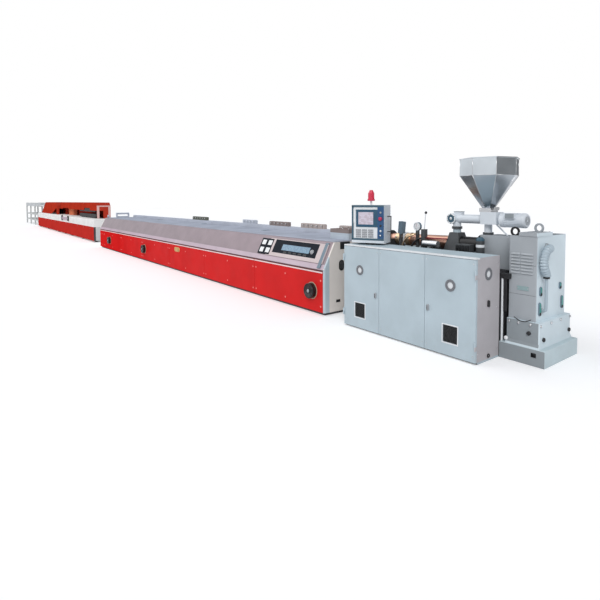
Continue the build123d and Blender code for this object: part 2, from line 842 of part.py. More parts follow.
def conduits():
    """The upright conduit and cable duct in the gap before the tower, with their box."""
    box_top = CONDUIT_TOP + CONDUIT_BOX_HEIGHT
    box = block(
        (CONDUIT_INSET, TOWER_START + CONDUIT_REACH),
        (CONDUIT_Y - CONDUIT_WIDTH, -TOWER_WIDTH / 2),
        (CONDUIT_TOP, box_top),
    )
    near = (CONDUIT_Y - CONDUIT_WIDTH / 2, CONDUIT_Y + CONDUIT_WIDTH / 2)
    pipe = block((CONDUIT_INSET, CONDUIT_INSET + CONDUIT_WIDTH), near, (BASE_HEIGHT, CONDUIT_TOP))
    duct_start = CONDUIT_INSET + 1.5 * CONDUIT_WIDTH
    duct = block((duct_start, duct_start + 1.5 * CONDUIT_WIDTH), near, (CABLE_DUCT_LOW, CONDUIT_TOP))
    return box + pipe + duct


def lifting_eyes():
    """The two ring bolts, one on the tower's top and one on its raised cover."""
    eyes = []
    for (x, y), level in zip(EYE_PLACES, (TOWER_TOP, TOWER_TOP + TOWER_CAP_HEIGHT)):
        plane = Plane(origin=(x, y + EYE_WIRE, level + EYE_RADIUS), z_dir=OPERATOR_SIDE)
        ring = Circle(EYE_RADIUS + EYE_WIRE) - Circle(EYE_RADIUS - EYE_WIRE)
        eyes.append(extrude(plane * ring, amount=2 * EYE_WIRE))
    return eyes


# Hopper, screw feeder and motor


def octagon_prism(radius, low, high):
    """An eight-sided prism about the hopper's axis, with a corner on the x axis."""
    return extrude(Pos(HOPPER_X, 0, low) * RegularPolygon(radius, OCTAGON_SIDES), amount=high - low)


def octagon_cone(low_radius, high_radius):
    """The solid inside the hopper's cone, met by four pairs of sloping faces."""
    flat = math.cos(math.pi / OCTAGON_SIDES)
    turn = 360 / OCTAGON_SIDES
    cone = None
    for index in range(OCTAGON_SIDES // 2):
        wedge = sloped_wedge(low_radius * flat, high_radius * flat, HOPPER_MOUTH, HOPPER_SHOULDER, 2 * high_radius)
        wedge = Rot(0, 0, (index + 0.5) * turn) * wedge
        cone = wedge if cone is None else cone & wedge
    return Pos(HOPPER_X, 0, 0) * cone


def hopper():
    """The eight-sided steel hopper: an upright band over a cone, with a turned-out rim."""
    inner_radius = HOPPER_RADIUS - HOPPER_WALL
    band = octagon_prism(HOPPER_RADIUS, HOPPER_SHOULDER, HOPPER_TOP)
    rim = octagon_prism(HOPPER_RADIUS + HOPPER_RIM, HOPPER_TOP - HOPPER_RIM, HOPPER_TOP)
    outer = band + rim + octagon_cone(HOPPER_MOUTH_RADIUS, HOPPER_RADIUS)
    inner_band = octagon_prism(inner_radius, HOPPER_SHOULDER, HOPPER_TOP)
    return outer - inner_band - octagon_cone(HOPPER_MOUTH_RADIUS - HOPPER_WALL, inner_radius)


def gate_level():
    """The height of the slide gate's middle plane, halfway down its frame."""
    return (THROAT_TOP + HOPPER_MOUTH) / 2


def gate_frame():
    """The frame under the hopper's mouth, in three bars that leave the gate's way free."""
    half = GATE_FRAME_WIDTH / 2
    room = GATE_THICKNESS / 2 + RUNNING_GAP
    x_range = (HOPPER_X - half, HOPPER_X + half)
    upper = block(x_range, (-half, half), (gate_level() + room, HOPPER_MOUTH))
    lower = block(x_range, (-half, half), (THROAT_TOP, gate_level() - room))
    side_y = GATE_WIDTH / 2 + RUNNING_GAP
    frame = upper + lower
    for low, high in ((-half, -side_y), (side_y, half)):
        frame += block(x_range, (low, high), (THROAT_TOP, HOPPER_MOUTH))
    return frame


def slide_gate():
    """The plate that shuts the hopper's mouth, with a turned-up pull outside the frame."""
    end = HOPPER_X + GATE_FRAME_WIDTH / 2 + GATE_PULL
    low, high = gate_level() - GATE_THICKNESS / 2, gate_level() + GATE_THICKNESS / 2
    half = GATE_WIDTH / 2
    plate = block((HOPPER_X - GATE_FRAME_WIDTH / 2, end), (-half, half), (low, high))
    pull = block((end - GATE_THICKNESS, end), (-half, half), (low, high + GATE_PULL))
    return plate + pull


def hopper_throat():
    """The block that feeds the screw, on a round neck with a foot flange and a leaning strut."""
    low, high = HOPPER_X - THROAT_LEFT, HOPPER_X + THROAT_RIGHT
    bottom = THROAT_TOP - THROAT_HEIGHT
    body = block((low, high), (-THROAT_WIDTH / 2, THROAT_WIDTH / 2), (bottom, THROAT_TOP))
    body = chamfer(body.edges().filter_by(Axis.Z), THROAT_WIDTH / 16)
    neck = rod((HOPPER_X, 0, DRIVE_TOP), (HOPPER_X, 0, bottom), NECK_RADIUS)
    flange = rod((HOPPER_X, 0, DRIVE_TOP), (HOPPER_X, 0, DRIVE_TOP + NECK_FLANGE), NECK_FLANGE_RADIUS)
    strut_foot = (high + STRUT_FOOT, 0, DRIVE_TOP)
    strut = rod((high - STRUT_FOOT / 2, 0, bottom + STRUT_RADIUS), strut_foot, STRUT_RADIUS)
    below = block(
        (strut_foot[0] - 2 * STRUT_FOOT, strut_foot[0] + STRUT_FOOT),
        (-STRUT_FOOT, STRUT_FOOT),
        (DRIVE_TOP - STRUT_FOOT, DRIVE_TOP),
    )
    return body + neck + flange + (strut - below) + gate_frame()


def screw_feeder():
    """The level feed screw's tube, with its cross tube, inlet box and spout to the feed throat."""
    right = HOPPER_X - THROAT_LEFT
    half = TEE_LENGTH / 2
    tube = rod((TEE_X, 0, FEEDER_HEIGHT), (right, 0, FEEDER_HEIGHT), FEEDER_RADIUS)
    cross = rod((TEE_X, -half, FEEDER_HEIGHT), (TEE_X, half, FEEDER_HEIGHT), TEE_RADIUS)
    inlet = block(
        (INLET_X - INLET_LENGTH / 2, INLET_X + INLET_LENGTH / 2),
        (-INLET_WIDTH / 2, INLET_WIDTH / 2),
        (FEEDER_HEIGHT, INLET_TOP),
    )
    spout = rod((FEED_X, 0, FEED_TOP), (FEED_X, 0, FEEDER_HEIGHT), SPOUT_RADIUS)
    middle = (FEED_TOP + FEEDER_HEIGHT - FEEDER_RADIUS) / 2
    clamp = rod((FEED_X, 0, middle - SPOUT_FLANGE), (FEED_X, 0, middle + SPOUT_FLANGE), SPOUT_RADIUS + SPOUT_FLANGE)
    return tube + cross + inlet + spout + clamp


def feeder_motor():
    """The feed screw's motor: coupling, flange, body, fan cowl and a terminal box on its side."""
    start = HOPPER_X + THROAT_RIGHT
    flange_start = start + MOTOR_COUPLING
    body_start = flange_start + MOTOR_FLANGE
    cowl_start = body_start + MOTOR_LENGTH - MOTOR_COWL
    end = body_start + MOTOR_LENGTH
    cowl_radius = MOTOR_RADIUS + MOTOR_RADIUS / 12
    profile = [
        (start, 0),
        (start, MOTOR_RADIUS / 2),
        (flange_start, MOTOR_RADIUS / 2),
        (flange_start, cowl_radius),
        (body_start, cowl_radius),
        (body_start, MOTOR_RADIUS),
        (cowl_start, MOTOR_RADIUS),
        (cowl_start, cowl_radius),
        (end - MOTOR_COWL / 4, cowl_radius),
        (end, cowl_radius - MOTOR_COWL / 4),
        (end, 0),
    ]
    motor = turned_about_x(profile, FEEDER_HEIGHT)
    middle = (body_start + cowl_start) / 2
    terminals = block(
        (middle - TERMINAL_LENGTH / 2, middle + TERMINAL_LENGTH / 2),
        (-MOTOR_RADIUS - TERMINAL_REACH, 0),
        (FEEDER_HEIGHT + TERMINAL_LOW, FEEDER_HEIGHT + TERMINAL_LOW + TERMINAL_HEIGHT),
    )
    return motor + terminals


# Control box on its turning foot


def control_place(height=0):
    """The control box's own frame: x across its face, -y out of the face, z up."""
    base = CABINET_HEIGHT + CONTROL_FOOT_HEIGHT + SEAT_GAP
    return Pos(CONTROL_X, CONTROL_Y, base + height) * Rot(0, 0, CONTROL_TURN)


def control_foot():
    """The fixed round foot that the control box turns on."""
    foot = Pos(CONTROL_X, CONTROL_Y, CABINET_HEIGHT + CONTROL_FOOT_HEIGHT / 2) * Cylinder(
        CONTROL_FOOT_RADIUS, CONTROL_FOOT_HEIGHT
    )
    return foot


def control_box():
    """The control housing, with a raised front frame and a bowed grip on its side."""
    half_width, half_depth = CONTROL_WIDTH / 2, CONTROL_DEPTH / 2
    body = block((-half_width, half_width), (-half_depth, half_depth), (0, CONTROL_HEIGHT))
    body = chamfer(body.edges().filter_by(Axis.Z), CONTROL_BEZEL / 3)
    face = block(
        (-half_width + CONTROL_BEZEL, half_width - CONTROL_BEZEL),
        (-half_depth, -half_depth + CONTROL_BEZEL),
        (3 * CONTROL_BEZEL, CONTROL_HEIGHT - CONTROL_BEZEL),
    )
    low, high = CONTROL_HEIGHT * 0.3, CONTROL_HEIGHT * 0.7
    reach = half_width + 4 * CONTROL_BEZEL
    root = half_width - CONTROL_BEZEL / 2
    path = Polyline((root, 0, low), (reach, 0, low), (reach, 0, high), (root, 0, high))
    bar = Plane(origin=path @ 0, z_dir=path % 0) * Circle(CONTROL_BEZEL / 2)
    return control_place() * (body - face + sweep(bar, path=path, transition=Transition.RIGHT))


def control_face():
    """The operating face: a plain panel with a framed screen and rows of keys."""
    half_width = CONTROL_WIDTH / 2 - CONTROL_BEZEL
    front = -CONTROL_DEPTH / 2 + CONTROL_BEZEL
    panel = block(
        (-half_width, half_width),
        (front - CONTROL_BEZEL / 2, front),
        (3 * CONTROL_BEZEL, CONTROL_HEIGHT - CONTROL_BEZEL),
    )
    screen_left = -half_width + CONTROL_BEZEL
    screen_top = CONTROL_HEIGHT - 3 * CONTROL_BEZEL
    outer = block(
        (screen_left, screen_left + SCREEN_WIDTH),
        (front - CONTROL_BEZEL, front - CONTROL_BEZEL / 2),
        (screen_top - SCREEN_HEIGHT, screen_top),
    )
    inner = block(
        (screen_left + 2 * CONTROL_BEZEL, screen_left + SCREEN_WIDTH - 2 * CONTROL_BEZEL),
        (front - CONTROL_BEZEL, front - CONTROL_BEZEL / 2),
        (screen_top - SCREEN_HEIGHT + 2 * CONTROL_BEZEL, screen_top - 2 * CONTROL_BEZEL),
    )
    return control_place() * (panel + outer - inner)


def beacon():
    """The warning lamp: a short stem, a collar and a lens that narrows at its top."""
    collar = BEACON_STEM + BEACON_BASE
    top = BEACON_STEM + BEACON_HEIGHT
    lens_radius = BEACON_RADIUS * 0.85
    outline = make_face(Polyline(
        (0, 0),
        (BEACON_STEM_RADIUS, 0),
        (BEACON_STEM_RADIUS, BEACON_STEM),
        (BEACON_RADIUS, BEACON_STEM),
        (BEACON_RADIUS, collar),
        (lens_radius, collar),
        (lens_radius, top - lens_radius),
        (lens_radius / 2, top),
        (0, top),
        close=True,
    ))
    lamp = revolve(Plane.XZ * outline, axis=Axis.Z)
    return control_place(CONTROL_HEIGHT) * lamp


# Calibration table


def table_section():
    """The housing's outline across the line, as (y, z) points, set in behind its side panels."""
    half = TABLE_WIDTH / 2
    inner = half - TABLE_PANEL_THICKNESS
    trim_top = TABLE_PANEL_TOP + TABLE_TRIM_HEIGHT
    near = [
        (-inner, TABLE_PANEL_BOTTOM),
        (-inner, TABLE_PANEL_TOP),
        (-half, TABLE_PANEL_TOP),
        (-half, trim_top),
        (-TABLE_DECK_WIDTH / 2, TABLE_DECK_HEIGHT),
    ]
    far = [(-y, z) for y, z in reversed(near)]
    edge, duct_top = TABLE_DECK_WIDTH / 2, TABLE_DECK_HEIGHT + TABLE_DUCT_HEIGHT
    duct = [
        (edge - TABLE_DUCT_WIDTH, TABLE_DECK_HEIGHT),
        (edge - TABLE_DUCT_WIDTH, duct_top),
        (edge, duct_top),
    ]
    return near + duct + far


def table_plinth():
    """The chassis that the table stands on, set back below its panels."""
    half = TABLE_WIDTH / 2 - TABLE_PLINTH_SETBACK
    return block(
        (TABLE_END + TABLE_PLINTH_SETBACK, TABLE_START - TABLE_PLINTH_SETBACK),
        (-half, half),
        (0, TABLE_PANEL_BOTTOM),
    )


def table_housing():
    """The closed stainless housing: a shoulder down each side, a raised duct along the far edge."""
    return prism_along_x(table_section(), TABLE_END + END_TRIM, TABLE_START - END_TRIM)


def table_end_plates():
    """The end plates, which close the housing's section to the full width."""
    half = TABLE_WIDTH / 2
    outline = [
        (-half, TABLE_PANEL_BOTTOM),
        (-half, TABLE_PANEL_TOP + TABLE_TRIM_HEIGHT),
        (-TABLE_DECK_WIDTH / 2, TABLE_DECK_HEIGHT),
        (TABLE_DECK_WIDTH / 2, TABLE_DECK_HEIGHT),
        (half, TABLE_PANEL_TOP + TABLE_TRIM_HEIGHT),
        (half, TABLE_PANEL_BOTTOM),
    ]
    near = prism_along_x(outline, TABLE_START - END_TRIM, TABLE_START)
    near = fillet(near.edges().filter_by(Axis.Z).sort_by(Axis.X)[-2:], END_CORNER)
    far = prism_along_x(outline, TABLE_END, TABLE_END + END_TRIM)
    far = fillet(far.edges().filter_by(Axis.Z).sort_by(Axis.X)[:2], END_CORNER)
    width, height, depth = END_POCKET
    y, z = END_POCKET_PLACE
    pocket = block(
        (TABLE_START - depth, TABLE_START),
        (y - width / 2, y + width / 2),
        (z - height / 2, z + height / 2),
    )
    return [near - pocket, far]


def panel_stations():
    """The x range of each side panel, from the extruder's end to the far end."""
    high = TABLE_START - END_TRIM
    stop = TABLE_END + END_TRIM
    low = TABLE_START - TABLE_FIRST_PANEL
    ranges = []
    while high > stop + TABLE_PANEL_GAP:
        ranges.append((max(low, stop), high - TABLE_PANEL_GAP))
        high = low
        low -= TABLE_PANEL_LENGTH
    return ranges


def side_panels(facing):
    """The row of enamelled side panels, with shadow gaps between them."""
    half = TABLE_WIDTH / 2
    inner = half - TABLE_PANEL_THICKNESS
    return [
        block(span, (facing[1] * half, facing[1] * inner), (TABLE_PANEL_BOTTOM, TABLE_PANEL_TOP - TABLE_PANEL_GAP))
        for span in panel_stations()
    ]


def portholes():
    """Round inspection covers that stand out from the front panels, each with a turned knob."""
    covers = []
    outer = PORTHOLE_DIAMETER / 2
    for station in PORTHOLE_STATIONS:
        plane = Plane(origin=(station, -TABLE_WIDTH / 2, PORTHOLE_HEIGHT), z_dir=OPERATOR_SIDE)
        disc = extrude(plane * Circle(outer), amount=PORTHOLE_RISE)
        field = plane.offset(PORTHOLE_RISE - PORTHOLE_SINK)
        sunk = extrude(field * Circle(outer - PORTHOLE_RING), amount=PORTHOLE_SINK)
        knob = extrude(field * Circle(PORTHOLE_KNOB), amount=PORTHOLE_KNOB_RISE)
        covers.append(disc - sunk + knob)
    return covers


def oval_plate():
    """The bare oval plate on a front panel, between the round covers."""
    x, z = OVAL_PLATE_PLACE
    plane = Plane(origin=(x, -TABLE_WIDTH / 2, z), z_dir=OPERATOR_SIDE)
    return extrude(plane * SlotOverall(*OVAL_PLATE), amount=OVAL_PLATE_RISE)


def end_cover():
    """The upright oval cover on the table's end plate."""
    width, height = END_COVER
    y, z = END_COVER_PLACE
    plane = Plane(origin=(TABLE_START, y, z), x_dir=(0, 0, 1), z_dir=(1, 0, 0))
    return extrude(plane * SlotOverall(height, width), amount=END_COVER_RISE)


def exit_rollers():
    """The guide roller at the table's far end and the rest below it, between two cheeks."""
    x = TABLE_END + ROLLER_INSET
    half = ROLLER_LENGTH / 2
    level = table_pass_height() + ROLLER_GAP / 2 + ROLLER_RADIUS
    guide = rod((x, -half, level), (x, half, level), ROLLER_RADIUS)
    guide += block(
        (x - ROLLER_RADIUS, x + ROLLER_RADIUS),
        (-half, half),
        (deck_top(), table_pass_height() - ROLLER_GAP / 2),
    )
    for side in (-1, 1):
        guide += block(
            (x - 2 * ROLLER_RADIUS, x + 2 * ROLLER_RADIUS),
            (side * half, side * (half + ROLLER_CHEEK)),
            (deck_top(), level + ROLLER_RADIUS),
        )
    return guide


def hand_wheel():
    """The adjusting wheel at the table's far end, on a stub through its bracket."""
    x = TABLE_END + ROLLER_INSET
    height = deck_top() + HAND_WHEEL_RISE
    wheel = rod(
        (x, HAND_WHEEL_Y - HAND_WHEEL_WIDTH, height),
        (x, HAND_WHEEL_Y, height),
        HAND_WHEEL_RADIUS,
    )
    bracket = block(
        (x - ROLLER_CHEEK, x + ROLLER_CHEEK),
        (HAND_WHEEL_Y, HAND_WHEEL_Y + HAND_WHEEL_WIDTH),
        (deck_top(), height + ROLLER_CHEEK),
    )
    return wheel + bracket


def deck_plates():
    """The cover plates along the table's top, with gaps between them."""
    near = -TABLE_DECK_WIDTH / 2 + DECK_PLATE_MARGIN
    far = TABLE_DECK_WIDTH / 2 - TABLE_DUCT_WIDTH - DECK_PLATE_GAP
    high = TABLE_START - DECK_PLATE_MARGIN
    pitch = (TABLE_LENGTH - 2 * DECK_PLATE_MARGIN) / DECK_PLATE_COUNT
    plates = []
    for index in range(DECK_PLATE_COUNT):
        start = high - index * pitch
        plate = block((start - pitch, start - DECK_PLATE_GAP), (near, far), (TABLE_DECK_HEIGHT, deck_top()))
        plates.append(chamfer(plate.faces().sort_by(Axis.Z)[-1].edges(), DECK_PLATE_THICKNESS / 3))
    return plates


def deck_top():
    """The height of the cover plates' top."""
    return TABLE_DECK_HEIGHT + DECK_PLATE_THICKNESS


def table_pass_height():
    """The height of the profile's axis over the table."""
    return deck_top() + TABLE_PASS_RISE


def table_console():
    """The key and display plate on the near shoulder, at the extruder's end."""
    low_y, low_z = -TABLE_WIDTH / 2, TABLE_PANEL_TOP + TABLE_TRIM_HEIGHT
    high_y, high_z = -TABLE_DECK_WIDTH / 2, TABLE_DECK_HEIGHT
    slope = Vector(0, high_y - low_y, high_z - low_z)
    outward = Vector(0, -slope.Z, slope.Y).normalized() * CONSOLE_RISE
    start = Vector(0, low_y, low_z) + slope * CONSOLE_LOW
    stop = Vector(0, low_y, low_z) + slope * CONSOLE_HIGH
    corners = [start, stop, stop + outward, start + outward]
    high = TABLE_START - CONSOLE_INSET
    return prism_along_x([(corner.Y, corner.Z) for corner in corners], high - CONSOLE_LENGTH, high)


def calibrator():
    """The first calibrating tool on the deck, in bars that leave the profile's slot free."""
    high = TABLE_START - 2 * DECK_PLATE_MARGIN
    x_range = (high - CALIBRATOR_LENGTH, high)
    half, slot_half = CALIBRATOR_WIDTH / 2, CALIBRATOR_WIDTH / 4
    slot_low = table_pass_height() - CALIBRATOR_SLOT / 2
    slot_high = table_pass_height() + CALIBRATOR_SLOT / 2
    top = deck_top() + CALIBRATOR_HEIGHT
    return [
        block(x_range, (-half, half), (deck_top(), slot_low)),
        block(x_range, (-half, -slot_half), (slot_low, slot_high)),
        block(x_range, (slot_half, half), (slot_low, slot_high)),
        block(x_range, (-half, half), (slot_high, top)),
    ]


def edge_blocks():
    """The valve and clamp blocks on the raised duct along the deck's far edge."""
    middle = (TABLE_DECK_WIDTH - TABLE_DUCT_WIDTH) / 2
    bottom = TABLE_DECK_HEIGHT + TABLE_DUCT_HEIGHT
    blocks = []
    for station, length in CLAMPS:
        body = block(
            (station - length / 2, station + length / 2),
            (middle - CLAMP_WIDTH / 2, middle + CLAMP_WIDTH / 2),
            (bottom, bottom + CLAMP_HEIGHT),
        )
        blocks.append(chamfer(body.faces().sort_by(Axis.Z)[-1].edges(), CLAMP_WIDTH / 8))
    return blocks


# Haul-off and cutter


def haul_modules():
    """The closed red base cabinets of the haul-off, the cutter and the cutter's run-out."""
    half = HAUL_WIDTH / 2
    modules = []
    high = HAUL_START
    for length in HAUL_MODULES:
        low = high - length
        modules.append(block((low + HAUL_MODULE_GAP, high), (-half, half), (HAUL_BOTTOM, HAUL_BASE_TOP)))
        high = low
    return modules


def haul_feet():
    """The levelling feet under each base cabinet."""
    feet = []
    y = HAUL_WIDTH / 2 - HAUL_FOOT
    half, stem = HAUL_FOOT / 2, HAUL_FOOT / 4
    high = HAUL_START
    for length in HAUL_MODULES:
        for x in (high - HAUL_FOOT, high - length / 2, high - length + HAUL_FOOT):
            for side in (-y, y):
                plate = block((x - half, x + half), (side - half, side + half), (0, HAUL_FOOT_PLATE))
                feet.append(plate + block((x - stem, x + stem), (side - stem, side + stem), (0, HAUL_BOTTOM)))
        high -= length
    return feet


def haul_deck():
    """The pale upper housing on the base cabinets, drawn down over their near end."""
    half = HAUL_WIDTH / 2
    end = HAUL_START + HAUL_END_PLATE
    deck = block((HAUL_END + HAUL_MODULE_GAP, end), (-half, half), (HAUL_BASE_TOP, HAUL_DECK_TOP))
    long_edges = deck.faces().sort_by(Axis.Z)[-1].edges().filter_by(Axis.X)
    return fillet(long_edges, HAUL_DECK_EDGE) + block((HAUL_START, end), (-half, half), (HAUL_BOTTOM, HAUL_BASE_TOP))


def hood_outline(low, high, slant, inset):
    """A hood seen from the front, as (x, z) points: one sloping end and one cut corner."""
    top = HOOD_TOP - inset
    return [
        (low + inset, HAUL_DECK_TOP),
        (low + slant + inset, top),
        (high - HOOD_CHAMFER, top),
        (high - inset, HOOD_TOP - HOOD_CHAMFER),
        (high - inset, HAUL_DECK_TOP),
    ]


def hood(low, high, front, slant):
    """A sheet hood, open below, with a window for the profile through each end."""
    def solid(inset):
        points = [(x, front + inset, z) for x, z in hood_outline(low, high, slant, inset)]
        outline = make_face(Polyline(*points, close=True))
        return extrude(outline, amount=HOOD_BACK - front - 2 * inset, dir=FAR_SIDE)

    window = block(
        (low, high),
        (-HOOD_PASS_WIDTH / 2, HOOD_PASS_WIDTH / 2),
        (HAUL_DECK_TOP, HAUL_DECK_TOP + HOOD_PASS_HEIGHT),
    )
    return solid(0) - solid(HOOD_WALL) - window


def pull_hood():
    """The haul-off's hood, with one window over the tracks and one before the saw."""
    shell = hood(*pull_span(), HOOD_FRONT, 0)
    for span, top in ((PULL_WINDOW, PULL_WINDOW_TOP), (SAW_WINDOW, SAW_WINDOW_TOP)):
        shell -= block(span, (HOOD_FRONT, HOOD_FRONT + HOOD_WALL), (HAUL_DECK_TOP, top))
    return shell


def cutter_hood():
    """The cutter's hood, with a three-cornered window low in its front."""
    low, high = CUTTER_WINDOW
    corners = [
        (low, CUTTER_FRONT, HAUL_DECK_TOP),
        (high, CUTTER_FRONT, HAUL_DECK_TOP),
        (high, CUTTER_FRONT, CUTTER_WINDOW_TOP),
    ]
    window = extrude(make_face(Polyline(*corners, close=True)), amount=HOOD_WALL, dir=FAR_SIDE)
    return hood(*cutter_span(), CUTTER_FRONT, CUTTER_SLANT) - window


def saw_head():
    """The cutter's saw housing, which stands behind the profile's way."""
    low, high = SAW_WINDOW
    return block((low + SAW_MARGIN, high - SAW_MARGIN), (SAW_FRONT, SAW_FRONT + SAW_WIDTH), (HAUL_DECK_TOP, SAW_TOP))


def gauge_wheels():
    """Two measuring wheels and the box between them, on the upper housing's front."""
    back = -HAUL_WIDTH / 2
    front = back - WHEEL_WIDTH
    box = block((min(WHEEL_STATIONS), max(WHEEL_STATIONS)), (back - WHEEL_BOX_DEPTH, back), WHEEL_BOX_RANGE)
    for station in WHEEL_STATIONS:
        box += rod((station, front, WHEEL_HEIGHT), (station, back, WHEEL_HEIGHT), WHEEL_RADIUS)
    return box


def pull_span():
    """The x range of the haul-off's hood."""
    high = HAUL_START - PULL_HOOD_INSET
    return high - PULL_HOOD_LENGTH, high


def cutter_span():
    """The x range of the cutter's hood, up to the end of the base cabinets."""
    return HAUL_END + HAUL_MODULE_GAP, pull_span()[0] - HOOD_GAP


def track_start():
    """The x at which the tracks begin, inside the hood's near end."""
    return pull_span()[1] - TRACK_INSET


def tracks():
    """The two rubber-padded tracks that grip the profile, each a round-ended loop."""
    middle = track_start() - TRACK_LENGTH / 2
    loops = []
    for side in (-1, 1):
        z = PASS_HEIGHT + side * (TRACK_GAP + TRACK_HEIGHT) / 2
        plane = Plane(origin=(middle, -TRACK_WIDTH / 2, z), x_dir=(1, 0, 0), z_dir=OPERATOR_SIDE)
        loops.append(extrude(plane * SlotOverall(TRACK_LENGTH, TRACK_HEIGHT), amount=-TRACK_WIDTH))
    return loops


def track_carriers():
    """The pedestal below the lower track and the carriage above the upper one."""
    high = track_start() - TRACK_HEIGHT
    x_range = (high - TRACK_LENGTH + 2 * TRACK_HEIGHT, high)
    y_range = (-CARRIER_WIDTH / 2, CARRIER_WIDTH / 2)
    reach = TRACK_GAP / 2 + TRACK_HEIGHT
    return [
        block(x_range, y_range, (HAUL_DECK_TOP, PASS_HEIGHT - reach)),
        block(x_range, y_range, (PASS_HEIGHT + reach, HOOD_TOP - HOOD_WALL)),
    ]


# Stacker


def stacker_legs():
    """The x at which each pair of the stacker's legs starts."""
    pitch = (STACKER_LENGTH - STACKER_LEG_INSET - STACKER_TUBE) / (STACKER_LEGS - 1)
    return [STACKER_END + index * pitch for index in range(STACKER_LEGS)]


def stacker_frame():
    """The stacker's legs and long rails, welded from square tube."""
    half, tube = STACKER_WIDTH / 2, STACKER_TUBE
    frame = []
    for side in (-half, half - tube):
        rails = [
            block((STACKER_END, STACKER_START), (side, side + tube), (level, level + tube))
            for level in STACKER_RAILS
        ]
        wall = rails[0] + rails[1]
        for x in stacker_legs():
            wall += block((x, x + tube), (side, side + tube), (0, STACKER_TRAY_TOP - STACKER_TRAY_DEPTH))
        frame.append(wall)
    for x in stacker_legs():
        for level in STACKER_RAILS:
            frame.append(block((x, x + tube), (-half + tube, half - tube), (level, level + tube)))
    return frame


def stacker_tray():
    """The open tray that the cut lengths roll into, with raised sides."""
    half, wall = STACKER_WIDTH / 2, STACKER_TRAY_WALL
    bottom = STACKER_TRAY_TOP - STACKER_TRAY_DEPTH
    x_range = (STACKER_END, STACKER_START + STACKER_TRAY_REACH)
    tray = block(x_range, (-half, half), (bottom, STACKER_TRAY_TOP))
    room = block(x_range, (-half + wall, half - wall), (bottom + wall, STACKER_TRAY_TOP))
    return tray - room


def build():
    """Write every sub-part of the line."""
    os.makedirs("parts", exist_ok=True)
    save("machine_frame", centre_frame(), *barrel_saddles())
    save("front_cabinet", front_shell())
    save("rear_cabinet", side_housing(FAR_SIDE))
    save("front_middle_panel", middle_panel(OPERATOR_SIDE))
    save("rear_panels", middle_panel(FAR_SIDE), *[cabinet_panel(side, FAR_SIDE) for side in ("left", "right")])
    save("left_door", hinged_door("left"))
    save("right_door", hinged_door("right"))
    save("switch_plates", switch_plate("left"), switch_plate("right"))
    save("barrel", barrel())
    save("trough_fittings", blower(), gauge(), lever_valve(), manifold(), oil_pump(), oil_cooler())
    save("die_head", die_head())
    save("feed_housing", feed_housing())
    save("drive_box", drive_box())
    save("gear_tower", gear_tower())
    save("tower_foot", tower_foot())
    save("tower_pipes", oil_pipes(), *sight_glasses(), conduits())
    save("hopper", hopper())
    save("slide_gate", slide_gate())
    save("hopper_throat", hopper_throat())
    save("screw_feeder", screw_feeder())
    save("feeder_motor", feeder_motor())
    save("control_box", control_box())
    save("control_face", control_face())
    save("beacon", beacon())
    save("table_plinth", table_plinth())
    save("table_housing", table_housing())
    save("table_end_plates", *table_end_plates())
    save("table_front_panels", *side_panels(OPERATOR_SIDE))
    save("table_rear_panels", *side_panels(FAR_SIDE))
    save("table_covers", *portholes(), oval_plate(), end_cover())
    save("table_deck_plates", *deck_plates())
    save("table_console", table_console())
    save("calibrator", *calibrator())
    save("table_edge_blocks", *edge_blocks())
    save("exit_rollers", exit_rollers(), hand_wheel())
    save("haul_off_base", *haul_modules(), *haul_feet())
    save("haul_off_deck", haul_deck())
    save("haul_off_tracks", *tracks())
    save("haul_off_fittings", saw_head(), gauge_wheels())
    save("haul_off_hood", pull_hood())
    save("cutter_hood", cutter_hood())
    save("track_carriers", *track_carriers())
    save("stacker_frame", *stacker_frame())
    save("stacker_tray", stacker_tray())


build()
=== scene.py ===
"""Looks of the profile extrusion line: materials, small parts, camera and studio light."""

from __future__ import annotations

import logging

import json
import math
from dataclasses import dataclass, field
from typing import Optional, Sequence

import bmesh
import bpy
from mathutils import Matrix, Vector

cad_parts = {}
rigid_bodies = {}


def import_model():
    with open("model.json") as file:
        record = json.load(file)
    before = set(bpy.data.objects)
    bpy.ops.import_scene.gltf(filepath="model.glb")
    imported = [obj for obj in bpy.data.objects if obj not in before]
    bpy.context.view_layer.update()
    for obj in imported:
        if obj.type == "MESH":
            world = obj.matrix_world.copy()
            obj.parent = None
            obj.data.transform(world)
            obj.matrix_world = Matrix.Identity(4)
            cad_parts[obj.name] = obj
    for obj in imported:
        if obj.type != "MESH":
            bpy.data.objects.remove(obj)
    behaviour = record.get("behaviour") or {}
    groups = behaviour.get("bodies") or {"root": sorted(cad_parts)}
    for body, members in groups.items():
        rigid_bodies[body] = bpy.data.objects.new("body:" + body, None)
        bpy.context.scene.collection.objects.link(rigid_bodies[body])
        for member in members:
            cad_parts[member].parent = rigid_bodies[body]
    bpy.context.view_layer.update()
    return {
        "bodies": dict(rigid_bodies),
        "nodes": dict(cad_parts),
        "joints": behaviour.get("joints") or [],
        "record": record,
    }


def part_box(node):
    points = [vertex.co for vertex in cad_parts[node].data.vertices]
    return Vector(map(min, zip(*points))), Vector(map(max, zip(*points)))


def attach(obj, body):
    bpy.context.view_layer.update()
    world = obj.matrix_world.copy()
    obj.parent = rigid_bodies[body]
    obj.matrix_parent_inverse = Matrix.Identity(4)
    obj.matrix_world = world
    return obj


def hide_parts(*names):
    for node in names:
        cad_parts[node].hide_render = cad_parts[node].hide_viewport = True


LOG = logging.getLogger("line")

Point = tuple[float, float, float]
Colour = tuple[float, float, float]

# Ways that faces look: to the operator, to the extruder's end, down the line and up
NEAR: Point = (0.0, -1.0, 0.0)
TO_END: Point = (1.0, 0.0, 0.0)
DOWN_LINE: Point = (-1.0, 0.0, 0.0)
UP: Point = (0.0, 0.0, 1.0)


class Line:
    """Where stations along the line are counted from: the cabinet's end face."""

    zero: float = 0.0


